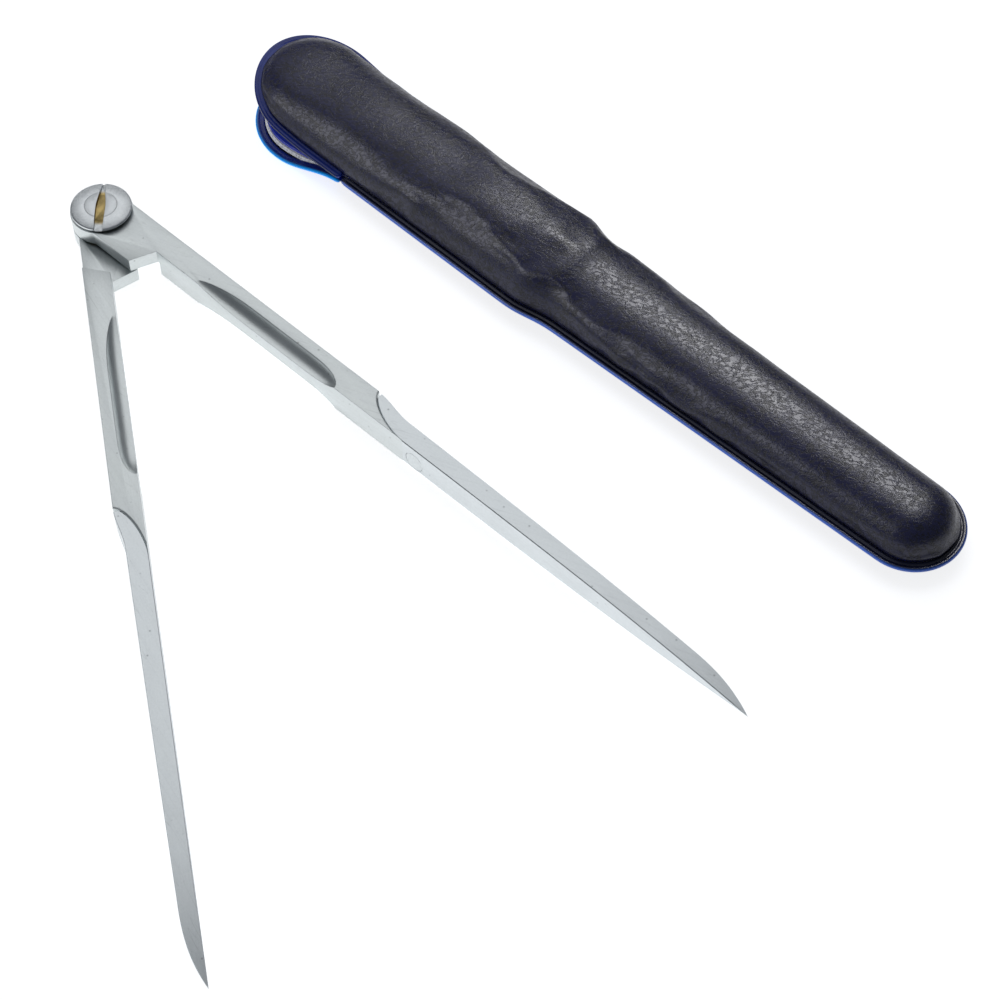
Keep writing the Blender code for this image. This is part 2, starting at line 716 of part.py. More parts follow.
def make_front_lip():
    """The loose front lip in three layers, on the bend at the mouth."""
    for label, depth, thickness, material in layer_table():
        route = lip_route(FRONT_LIP_HALF_WIDTH, RIM_INSET + depth, -GAP)
        mesh = panel_mesh("front_lip_" + label, route, front_height, FRONT_FULLNESS, depth, False)
        point_outside(mesh, up=True)
        mesh.transform(MOUTH_BEND.matrix_basis.inverted())
        thicken(make_piece(mesh.name, mesh, material, MOUTH_BEND), thickness)


def bead(name, points, thickness, material, parent):
    """A round bead along a list of points."""
    curve = bpy.data.curves.new(name, "CURVE")
    curve.dimensions = "3D"
    curve.bevel_depth = thickness / 2
    curve.bevel_resolution = 2
    curve.use_fill_caps = True
    spline = curve.splines.new("POLY")
    spline.points.add(len(points) - 1)
    for slot, point in zip(spline.points, points):
        slot.co = (*point, 1)
    made = bpy.data.objects.new(name, curve)
    made.parent = parent
    curve.materials.append(material)
    PARTS.objects.link(made)
    return made


def make_beads():
    """The welded rim and the edging of both lips."""
    rim = [(x, y, RIM_HEIGHT) for (x, y), _ in body_route(RIM_THICKNESS / 2)]
    bead("welded_rim", rim, RIM_THICKNESS, BLUE_VINYL, POUCH)
    radius = EDGING_THICKNESS / 2
    back = [(x, y, max(back_edge_height(x), radius)) for (x, y), _ in
            lip_route(BACK_LIP_HALF_WIDTH, radius, -GAP)]
    bead("back_lip_edging", back, EDGING_THICKNESS, BLUE_VINYL, POUCH)
    front = []
    for (x, y), spine in lip_route(FRONT_LIP_HALF_WIDTH, radius, -GAP):
        z = front_height((x, y), spine, math.pi / 2, COVER_THICKNESS)
        front.append(Vector((x, y, z)) - MOUTH_BEND.location)
    bead("front_lip_edging", front, EDGING_THICKNESS, BLUE_VINYL, MOUTH_BEND)


# -------------------------------------------------------------- whole object
def centre_on_table():
    """Moves the set so that the middle of its footprint is at the origin."""
    bpy.context.view_layer.update()
    graph = bpy.context.evaluated_depsgraph_get()
    corners = []
    for piece in PARTS.objects:
        if piece.type == "EMPTY":
            continue
        seen = piece.evaluated_get(graph)
        corners.extend(piece.matrix_world @ v.co for v in seen.to_mesh().vertices)
        seen.to_mesh_clear()
    for axis in (0, 1):
        values = [corner[axis] for corner in corners]
        WHOLE.location[axis] = -(min(values) + max(values)) / 2
    WHOLE.location[2] = -min(corner[2] for corner in corners)


clear_scene()
PARTS = new_collection("drafting_divider_set")
CUTTERS = new_collection("cutters")

NICKEL = make_material("satin_nickel", (0.78, 0.82, 0.84), 0.32, 1.0)
STEEL = make_material("satin_steel", (0.74, 0.78, 0.80), 0.3, 1.0)
BRASS = make_material("brass", (0.78, 0.62, 0.30), 0.35, 1.0)
LEATHERETTE = make_material("navy_leatherette", (0.008, 0.009, 0.022), 0.4, 0.0)
FOAM = make_material("foam", (0.55, 0.56, 0.6), 0.9, 0.0)
BLUE_VINYL = make_material("blue_vinyl", (0.01, 0.03, 0.35), 0.35, 0.0)

WHOLE = make_empty("set_frame")
POUCH = make_empty("pouch_frame", parent=WHOLE)
MOUTH_BEND = make_empty("mouth_bend", (0, 0, CROWN_AT_MOUTH), parent=POUCH)
DIVIDER = make_empty("divider_frame", (DIVIDER_OFFSET_X, DIVIDER_OFFSET_Y, 0), parent=WHOLE)
PIVOT = make_empty("pivot_frame", parent=DIVIDER)

make_legs()
make_head()
make_washers()
make_bush_and_nut()
make_front_panels()
make_back_panels()
make_front_lip()
make_beads()
centre_on_table()
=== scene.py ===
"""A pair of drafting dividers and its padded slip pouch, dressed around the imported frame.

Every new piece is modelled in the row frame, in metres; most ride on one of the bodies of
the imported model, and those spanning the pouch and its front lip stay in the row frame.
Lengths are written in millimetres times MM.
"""

import json
import logging
import math
from collections.abc import Callable, Iterator, Sequence
from contextlib import contextmanager
from dataclasses import dataclass
from enum import Enum

import bmesh
import bpy
from mathutils import Matrix, Vector, noise

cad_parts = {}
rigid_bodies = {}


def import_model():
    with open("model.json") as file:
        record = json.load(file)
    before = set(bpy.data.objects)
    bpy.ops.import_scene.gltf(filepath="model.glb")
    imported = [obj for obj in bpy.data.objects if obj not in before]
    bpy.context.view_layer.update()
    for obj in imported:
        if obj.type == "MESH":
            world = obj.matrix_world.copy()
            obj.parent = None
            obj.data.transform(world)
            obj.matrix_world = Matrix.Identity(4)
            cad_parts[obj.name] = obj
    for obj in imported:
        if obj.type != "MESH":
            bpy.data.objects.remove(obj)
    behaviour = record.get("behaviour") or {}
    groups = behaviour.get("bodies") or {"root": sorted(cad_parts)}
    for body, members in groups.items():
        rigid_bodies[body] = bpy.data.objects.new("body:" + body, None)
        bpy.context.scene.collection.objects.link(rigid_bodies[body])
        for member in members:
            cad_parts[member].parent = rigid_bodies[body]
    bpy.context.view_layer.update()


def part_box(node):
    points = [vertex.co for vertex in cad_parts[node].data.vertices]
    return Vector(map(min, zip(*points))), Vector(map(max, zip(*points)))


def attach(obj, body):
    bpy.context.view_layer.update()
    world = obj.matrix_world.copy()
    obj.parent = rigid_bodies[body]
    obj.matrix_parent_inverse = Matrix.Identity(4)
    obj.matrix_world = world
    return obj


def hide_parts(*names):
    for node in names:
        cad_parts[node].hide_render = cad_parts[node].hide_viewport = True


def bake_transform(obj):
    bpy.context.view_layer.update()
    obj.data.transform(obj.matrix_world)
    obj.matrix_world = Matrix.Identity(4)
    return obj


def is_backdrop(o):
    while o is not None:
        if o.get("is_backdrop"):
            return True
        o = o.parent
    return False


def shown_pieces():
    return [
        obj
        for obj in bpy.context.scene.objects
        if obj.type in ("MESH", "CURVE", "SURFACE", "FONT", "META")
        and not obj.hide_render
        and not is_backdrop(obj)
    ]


MM = 0.001
LOG = logging.getLogger("divider_set")

Point = tuple[float, float]
Ring = list[Vector]
Colour = tuple[float, float, float]
Number = "float | Reading"


class Body(Enum):
    """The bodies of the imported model."""

    POUCH = "pouch"
    FRONT_LIP = "front_lip"
    RIGHT_ARM = "right_arm"
    LEFT_ARM = "left_arm"
    PIVOT_HEAD = "pivot_head"


class Slot(Enum):
    """The record's material slots."""

    NICKEL = "satin_nickel"
    STEEL = "point_steel"
    BRASS = "brass"
    LEATHERETTE = "navy_leatherette"
    FOAM = "foam"
    VINYL = "blue_vinyl"


class Side(Enum):
    """The two legs of the dividers."""

    RIGHT = "right"
    LEFT = "left"


# ------------------------------------------------------------------ small sums
def mix(a: float, b: float, amount: float) -> float:
    """Goes straight from a to b."""
    return a + (b - a) * amount


def clamp(value: float) -> float:
    """Keeps a value between 0 and 1."""
    return min(max(value, 0.0), 1.0)


def smooth_step(amount: float) -> float:
    """Goes from 0 to 1 with level ends."""
    amount = clamp(amount)
    return amount * amount * (3 - 2 * amount)


def arc(centre: Point, radius: float, start: float, stop: float, steps: int) -> list[Point]:
    """Points on an arc, both ends included."""
    turns = [mix(start, stop, i / steps) for i in range(steps + 1)]
    return [(centre[0] + radius * math.cos(a), centre[1] + radius * math.sin(a)) for a in turns]


# ------------------------------------------------------------------- the bench
class Bench:
    """The modelling moves that every maker shares."""

    WELD = 0.002 * MM
    SMOOTH_ANGLE = math.radians(32)

    @staticmethod
    def pick(piece: bpy.types.Object) -> None:
        """Makes a piece the only one selected, and the active one."""
        bpy.ops.object.select_all(action="DESELECT")
        piece.select_set(True)
        bpy.context.view_layer.objects.active = piece

    @staticmethod
    @contextmanager
    def editing(piece: bpy.types.Object, mode: str = "VERT") -> Iterator[bmesh.types.BMesh]:
        """Opens a piece in edit mode with nothing selected, and closes it afterwards.

        Args:
            piece: The mesh object to open.
            mode: VERT, EDGE or FACE.

        Returns:
            The edit mesh, for selecting by place or normal.
        """
        Bench.pick(piece)
        bpy.ops.object.mode_set(mode="EDIT")
        bpy.ops.mesh.select_mode(type=mode)
        bpy.ops.mesh.select_all(action="DESELECT")
        yield bmesh.from_edit_mesh(piece.data)
        bpy.ops.object.mode_set(mode="OBJECT")

    @staticmethod
    def loft(name: str, rings: Sequence[Ring], capped: bool = True) -> bpy.types.Object:
        """Extrudes a circle from ring to ring, as many times as there are rings.

        Args:
            name: The piece's name.
            rings: The rings in order, all with the same number of points.
            capped: Whether the first and the last ring are filled.

        Returns:
            The new piece, its normals facing out.
        """
        bpy.ops.object.select_all(action="DESELECT")
        bpy.ops.mesh.primitive_circle_add(
            vertices=len(rings[0]), radius=MM, fill_type="NGON" if capped else "NOTHING")
        piece = bpy.context.object
        piece.name = name
        piece.data.name = name
        marks = piece.data.attributes.new("slot", "INT", "POINT")
        for index, vertex in enumerate(piece.data.vertices):
            vertex.co = rings[0][index]
            marks.data[index].value = index
        with Bench.editing(piece):
            bpy.ops.mesh.select_all(action="SELECT")
            for ring in rings[1:]:
                if capped:
                    bpy.ops.mesh.extrude_region_move()
                else:
                    bpy.ops.mesh.extrude_edges_move()
                form = bmesh.from_edit_mesh(piece.data)
                slot = form.verts.layers.int["slot"]
                for vertex in form.verts:
                    if vertex.select:
                        vertex.co = ring[vertex[slot]]
                bmesh.update_edit_mesh(piece.data)
        piece.data.attributes.remove(piece.data.attributes["slot"])
        Bench.close(piece)
        return piece

    @staticmethod
    def close(piece: bpy.types.Object) -> None:
        """Merges doubled points and turns every face outwards."""
        with Bench.editing(piece):
            bpy.ops.mesh.select_all(action="SELECT")
            bpy.ops.mesh.remove_doubles(threshold=Bench.WELD)
            bpy.ops.mesh.dissolve_degenerate(threshold=Bench.WELD)
            bpy.ops.mesh.normals_make_consistent(inside=False)

    @staticmethod
    def prism(name: str, outline: Sequence[Point], low: float, high: float) -> bpy.types.Object:
        """Extrudes a flat outline upwards between two heights."""
        rings = [[Vector((x, y, z)) for x, y in outline] for z in (low, high)]
        return Bench.loft(name, rings)

    @staticmethod
    def turned(name: str, profile: Sequence[Point], closed: bool,
               segments: int = 96) -> bpy.types.Object:
        """Turns a section of (radius, height) pairs round the Z axis.

        Args:
            name: The piece's name.
            profile: The section, in order.
            closed: Whether the section is a loop, as a ring's is.
            segments: Steps round the axis.

        Returns:
            The new piece.
        """
        spins = [2 * math.pi * i / segments for i in range(segments)]
        path = list(profile) + ([profile[0]] if closed else [])
        rings = [[Vector((r * math.cos(a), r * math.sin(a), z)) for a in spins]
                 for r, z in path]
        return Bench.loft(name, rings, capped=False)

    @staticmethod
    def apply(piece: bpy.types.Object, kind: str, **settings: object) -> None:
        """Adds a modifier, sets it and applies it."""
        Bench.pick(piece)
        modifier = piece.modifiers.new(kind.lower(), kind)
        for name, value in settings.items():
            setattr(modifier, name, value)
        bpy.ops.object.modifier_apply(modifier=modifier.name)

    @staticmethod
    def combine(piece: bpy.types.Object, tool: bpy.types.Object,
                operation: str = "DIFFERENCE") -> None:
        """Cuts a piece with a tool, or joins the tool to it, and removes the tool."""
        Bench.apply(piece, "BOOLEAN", object=tool, operation=operation, solver="EXACT")
        bpy.data.objects.remove(tool, do_unlink=True)

    @staticmethod
    def soften(piece: bpy.types.Object, width: float, segments: int = 2,
               angle: float = math.radians(28)) -> None:
        """Rounds the sharp edges a little and shades the rest smooth."""
        Bench.apply(piece, "BEVEL", width=width, segments=segments, limit_method="ANGLE",
                    angle_limit=angle, use_clamp_overlap=False, miter_outer="MITER_ARC")
        Bench.shade(piece)

    @staticmethod
    def shade(piece: bpy.types.Object) -> None:
        """Shades a piece smooth up to its sharp edges."""
        Bench.pick(piece)
        bpy.ops.object.shade_smooth_by_angle(angle=Bench.SMOOTH_ANGLE)

    @staticmethod
    def settle(piece: bpy.types.Object, place: Matrix) -> None:
        """Moves a piece to its place and leaves that place in its mesh."""
        piece.matrix_world = place
        Bench.pick(piece)
        bpy.ops.object.transform_apply(location=True, rotation=True, scale=True)


# --------------------------------------------------------------- shader boards
@dataclass(frozen=True)
class Reading:
    """A socket of a material. Sums on a number's socket add Math nodes."""

    board: "Board"
    socket: bpy.types.NodeSocket

    def __add__(self, other: Number) -> "Reading":
        """Adds."""
        return self.board.math("ADD", self, other)

    def __radd__(self, other: float) -> "Reading":
        """Adds, the other way round."""
        return self.board.math("ADD", other, self)

    def __sub__(self, other: Number) -> "Reading":
        """Subtracts."""
        return self.board.math("SUBTRACT", self, other)

    def __rsub__(self, other: float) -> "Reading":
        """Subtracts this from a number."""
        return self.board.math("SUBTRACT", other, self)

    def __mul__(self, other: Number) -> "Reading":
        """Multiplies."""
        return self.board.math("MULTIPLY", self, other)

    def __rmul__(self, other: float) -> "Reading":
        """Multiplies, the other way round."""
        return self.board.math("MULTIPLY", other, self)

    def __pow__(self, other: float) -> "Reading":
        """Raises to a power."""
        return self.board.math("POWER", self, other)

    def __abs__(self) -> "Reading":
        """Drops the sign."""
        return self.board.math("ABSOLUTE", self)

    def between(self, low: float, high: float) -> "Reading":
        """Goes smoothly from 0 at low to 1 at high."""
        made = self.board.node("ShaderNodeMapRange", {"interpolation_type": "SMOOTHSTEP"},
                               {"Value": self, "From Min": low, "From Max": high})
        return Reading(self.board, made.outputs[0])


class Board:
    """The node tree of one material."""

    def __init__(self, name: str) -> None:
        """Makes the material with its Principled shader."""
        self.material = bpy.data.materials.new(name)
        self.material.use_nodes = True
        self.tree = self.material.node_tree
        self.shader = self.tree.nodes["Principled BSDF"]

    def node(self, kind: str, settings: dict | None = None,
             sockets: dict | None = None) -> bpy.types.Node:
        """Adds a node.

        Args:
            kind: Its type.
            settings: Its own settings, set first; stops are a colour ramp's.
            sockets: Values or readings for its inputs, by name or number.

        Returns:
            The node.
        """
        made = self.tree.nodes.new(kind)
        for name, value in (settings or {}).items():
            setattr(made, name, value)
        self.fill(made, sockets or {})
        return made

    def fill(self, node: bpy.types.Node, sockets: dict) -> None:
        """Sets or links inputs of a node."""
        for name, value in sockets.items():
            if isinstance(value, Reading):
                self.tree.links.new(value.socket, node.inputs[name])
            else:
                node.inputs[name].default_value = value

    def math(self, operation: str, *values: Number) -> Reading:
        """One Math node."""
        made = self.node("ShaderNodeMath", {"operation": operation}, dict(enumerate(values)))
        return Reading(self, made.outputs[0])

    def place(self, attribute: str = "") -> Reading:
        """Object coordinates, or a point attribute of the piece."""
        if attribute:
            made = self.node("ShaderNodeAttribute", {"attribute_name": attribute})
            return Reading(self, made.outputs["Vector"])
        return Reading(self, self.node("ShaderNodeTexCoord").outputs["Object"])

    def level(self, attribute: str) -> Reading:
        """A number attribute of the piece."""
        made = self.node("ShaderNodeAttribute", {"attribute_name": attribute})
        return Reading(self, made.outputs["Fac"])

    def mapped(self, place: Reading, scale: Colour, turn: float = 0.0,
               shift: Colour = (0.0, 0.0, 0.0)) -> Reading:
        """Turns, scales and centres a pattern's place."""
        turned = self.node("ShaderNodeMapping", {"vector_type": "TEXTURE"},
                           {"Vector": place, "Location": shift, "Rotation": (0.0, 0.0, turn)})
        made = self.node("ShaderNodeMapping", {"vector_type": "POINT"},
                         {"Vector": Reading(self, turned.outputs[0]), "Scale": scale})
        return Reading(self, made.outputs[0])

    def noise(self, place: Reading, scale: float, detail: float = 2.0,
              roughness: float = 0.5, distortion: float = 0.0) -> Reading:
        """Soft noise round 0.5."""
        made = self.node("ShaderNodeTexNoise", {},
                         {"Vector": place, "Scale": scale, "Detail": detail,
                          "Roughness": roughness, "Distortion": distortion})
        return Reading(self, made.outputs[0])

    def cells(self, place: Reading, scale: float, feature: str = "F1") -> Reading:
        """Distance to the nearest cell's centre or edge."""
        made = self.node("ShaderNodeTexVoronoi", {"feature": feature},
                         {"Vector": place, "Scale": scale})
        return Reading(self, made.outputs["Distance"])

    def part(self, place: Reading, axis: str) -> Reading:
        """One coordinate of a place."""
        made = self.node("ShaderNodeSeparateXYZ", {}, {0: place})
        return Reading(self, made.outputs[axis])

    def length(self, place: Reading) -> Reading:
        """The length of a place's vector."""
        made = self.node("ShaderNodeVectorMath", {"operation": "LENGTH"}, {0: place})
        return Reading(self, made.outputs["Value"])

    def tint(self, amount: Number, low: Colour, high: Colour | Reading) -> Reading:
        """Mixes two colours."""
        first = low if isinstance(low, Reading) else (*low, 1.0)
        second = high if isinstance(high, Reading) else (*high, 1.0)
        made = self.node("ShaderNodeMix", {"data_type": "RGBA"}, {0: amount, 6: first, 7: second})
        return Reading(self, made.outputs[2])

    def bump(self, height: Reading, distance: float, strength: float = 1.0) -> Reading:
        """A Bump node for the shader's Normal."""
        made = self.node("ShaderNodeBump", {},
                         {"Height": height, "Distance": distance, "Strength": strength})
        return Reading(self, made.outputs[0])

    def dress(self, **sockets: Number) -> bpy.types.Material:
        """Fills the Principled shader's inputs, their names written with underscores."""
        named = {name.replace("_", " "): value for name, value in sockets.items()}
        self.fill(self.shader, named)
        return self.material


# -------------------------------------------------------------------- finishes
@dataclass(frozen=True)
class SatinMetal:
    """Nickel plate or steel, drawn along the leg with a fine abrasive."""

    name: str
    light: Colour
    dark: Colour
    roughness: float
    draw_angle: float = 0.0
    draw_depth: float = 0.006 * MM

    def material(self) -> bpy.types.Material:
        """Makes the material: draw marks, clouding, pits and a few handling scratches."""
        board = Board(self.name)
        place = board.place()
        drawn = board.noise(board.mapped(place, (90, 2400, 2400), self.draw_angle), 1.0, 4.0, 0.6)
        cloud = board.noise(place, 130, 4.0, 0.6)
        speckle = board.noise(place, 2600, 2.0)
        pits = board.cells(place, 420).between(0.0, 0.11)
        marks = board.noise(board.mapped(place, (35, 900, 500), self.draw_angle + 0.35), 1.0, 1.0)
        scratch = abs(marks - 0.5).between(0.0, 0.006)
        shade = cloud * 0.5 + drawn * 0.3 + speckle * 0.2
        colour = board.tint(shade.between(0.3, 0.68), self.dark, self.light)
        colour = board.tint(pits * (0.75 + 0.25 * scratch), tuple(0.6 * c for c in self.dark), colour)
        rough = self.roughness + 0.16 * (drawn - 0.5) + 0.2 * (cloud - 0.5) + 0.08 * (1 - pits)
        height = drawn * 0.6 + speckle * 0.35 + pits * 1.2 + scratch * 0.8
        return board.dress(Base_Color=colour, Roughness=rough, Metallic=1.0,
                           Normal=board.bump(height, self.draw_depth))


@dataclass(frozen=True)
class TurnedMetal:
    """Metal faced on a lathe, its rings centred on the pivot."""

    name: str
    light: Colour
    dark: Colour
    roughness: float
    centre: Point
    bare: Colour | None = None
    bare_radius: float = 0.0
    bare_below: float = 0.0
    ring_depth: float = 0.008 * MM

    def material(self) -> bpy.types.Material:
        """Makes the material: turning rings, clouding, and bare metal low in the slot."""
        board = Board(self.name)
        place = board.place()
        flat = board.mapped(place, (1, 1, 0), shift=(*self.centre, 0.0))
        radius = board.length(flat)
        ring_noise = board.noise(board.mapped(flat, (120, 120, 1)), 1.0, 2.0)
        rings = board.math("SINE", radius * 52000 + ring_noise * 7.0)
        cloud = board.noise(place, 420, 4.0, 0.6)
        speckle = board.noise(place, 5200, 2.0)
        shade = cloud * 0.7 + 0.1 * rings + speckle * 0.2
        colour = board.tint(shade.between(0.25, 0.7), self.dark, self.light)
        if self.bare is not None:
            worn = 1 - radius.between(self.bare_radius * 0.82, self.bare_radius * 1.06)
            low = 1 - board.part(place, "Z").between(self.bare_below - 0.12 * MM, self.bare_below)
            tan = board.tint(cloud.between(0.3, 0.7), tuple(0.45 * c for c in self.bare), self.bare)
            colour = board.tint(worn * low, colour, tan)
        rough = self.roughness + 0.2 * (cloud - 0.5) + 0.04 * rings
        height = rings * 0.5 + speckle * 0.5
        return board.dress(Base_Color=colour, Roughness=rough, Metallic=1.0,
                           Normal=board.bump(height, self.ring_depth))


@dataclass(frozen=True)
class Leatherette:
    """Navy vinyl embossed with a creased leather grain."""

    name: str = "navy_leatherette"
    light: Colour = (0.009, 0.010, 0.034)
    dark: Colour = (0.003, 0.003, 0.009)
    roughness: float = 0.33
    grain_depth: float = 0.03 * MM

    def material(self) -> bpy.types.Material:
        """Makes the material: pebbles, long creases, pores, and a tone lighter on the grain's high
        spots and darker in its creases.
        """
        board = Board(self.name)
        place = board.place("rest_place")
        wander = board.noise(place, 160, 3.0)
        pebble = board.cells(place, 1150, "SMOOTH_F1")
        crease = 1 - abs(board.noise(board.mapped(place, (750, 1300, 900), 0.5), 1.0, 4.0, 0.55,
                                     0.6) - 0.5).between(0.0, 0.09)
        deep = 1 - abs(board.noise(place, 300, 3.0, 0.5, 0.8) - 0.5).between(0.0, 0.025)
        pores = board.noise(place, 6500, 2.0)
        height = (1 - pebble) * 0.55 - crease * 0.45 - deep * 0.35 + pores * 0.1
        # colour follows the grain's height: lighter on its high spots, darker in its creases and
        # between its pebbles
        height_tone = (height + wander * 0.5).between(0.1, 0.6)
        colour = board.tint(height_tone, self.dark, self.light)
        rough = self.roughness + 0.14 * (wander - 0.5) + 0.1 * crease - 0.05 * height_tone
        return board.dress(Base_Color=colour, Roughness=rough, Specular_IOR_Level=0.34,
                           Normal=board.bump(height, self.grain_depth))


@dataclass(frozen=True)
class Vinyl:
    """Smooth soft vinyl, with a band of a second colour where the attribute edge says, and an
    optional painted glow on that band.
    """

    name: str
    field: Colour
    field_dark: Colour
    edge: Colour
    # painted glow: emission on the edge band that stands in for light shining through the vinyl,
    # though it is no lamp
    painted_glow: Colour = (0.0, 0.0, 0.0)
    painted_glow_strength: float = 0.0
    roughness: float = 0.3

    def material(self) -> bpy.types.Material:
        """Makes the material: calendered streaks, a faint emboss, the edge band and its painted glow.
        """
        board = Board(self.name)
        place = board.place("rest_place")
        edge = board.level("edge")
        cloud = board.noise(place, 180, 3.0)
        emboss = board.noise(place, 2600, 3.0)
        streak = board.noise(board.mapped(place, (60, 900, 900)), 1.0, 2.0)
        shade = (cloud * 0.6 + streak * 0.4).between(0.3, 0.7)
        colour = board.tint(shade, self.field_dark, self.field)
        colour = board.tint(edge, colour, self.edge)
        # painted glow: the edge band emits light, though the vinyl is no lamp
        painted_glow = board.tint(edge, (0.0, 0.0, 0.0), self.painted_glow)
        rough = self.roughness + 0.16 * (cloud - 0.5) + 0.08 * (emboss - 0.5)
        return board.dress(Base_Color=colour, Roughness=rough, Specular_IOR_Level=0.5,
                           Emission_Color=painted_glow, Emission_Strength=self.painted_glow_strength,
                           Normal=board.bump(emboss, 0.006 * MM))


@dataclass(frozen=True)
class Foam:
    """Thin open-cell padding."""

    name: str = "pouch_foam"
    light: Colour = (0.62, 0.63, 0.66)
    dark: Colour = (0.3, 0.31, 0.34)

    def material(self) -> bpy.types.Material:
        """Makes the material: open cells and faint clouding."""
        board = Board(self.name)
        place = board.place("rest_place")
        cells = board.cells(place, 3200)
        cloud = board.noise(place, 200, 3.0)
        colour = board.tint((cells + cloud * 0.4).between(0.2, 0.9), self.dark, self.light)
        return board.dress(Base_Color=colour, Roughness=0.85 + 0.2 * (cloud - 0.5),
                           Normal=board.bump(cells, 0.08 * MM))


@dataclass(frozen=True)
class TableTop:
    """The pale table that the set lies on."""

    name: str = "pale_table"
    colour: Colour = (0.93, 0.94, 0.95)
    lift: float = 0.8

    def material(self) -> bpy.types.Material:
        """Makes the material: matt and almost even, with its own faint light."""
        board = Board(self.name)
        cloud = board.noise(board.place(), 6, 2.0)
        colour = board.tint(cloud, tuple(0.985 * c for c in self.colour), self.colour)
        return board.dress(Base_Color=colour, Roughness=0.7, Emission_Color=(1.0, 1.0, 1.0, 1.0),
                           Emission_Strength=self.lift, Specular_IOR_Level=0.2)


# ------------------------------------------------------------- where things are
@dataclass(frozen=True)
class Anchors:
    """Places that the whole set is built from, read from the frame."""

    pivot: Vector
    weld: Vector

    @classmethod
    def read(cls) -> "Anchors":
        """Finds the pivot and the start of the pouch's weld on the table."""
        low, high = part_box("head_collar")
        rim_low, rim_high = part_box("welded_rim")
        return cls(pivot=Vector(((low.x + high.x) / 2, (low.y + high.y) / 2, 0.0)),
                   weld=Vector((rim_low.x, (rim_low.y + rim_high.y) / 2, 0.0)))


@dataclass(frozen=True)
class Seat:
    """What a finished piece rides on, stands for and takes its finish from."""

    material: bpy.types.Material
    slot: Slot
    body: Body
    replaces: tuple[str, ...]

    def take(self, piece: bpy.types.Object) -> None:
        """Dresses a piece and lets it ride."""
        piece.data.materials.clear()
        piece.data.materials.append(self.material)
        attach(piece, self.body.value)
        self.name(piece)

    def bend(self, piece: bpy.types.Object, start: Vector, end: Vector) -> None:
        """Dresses a piece that spans the pouch and its front lip and leaves it in the row frame, on
        no body.
        """
        piece.data.materials.clear()
        piece.data.materials.append(self.material)
        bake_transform(piece)
        self.name(piece)

    def name(self, piece: bpy.types.Object) -> None:
        """Hides the nodes that the piece replaces and logs its face count."""
        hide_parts(*self.replaces)
        LOG.info("made %s: %d faces", piece.name, len(piece.data.polygons))


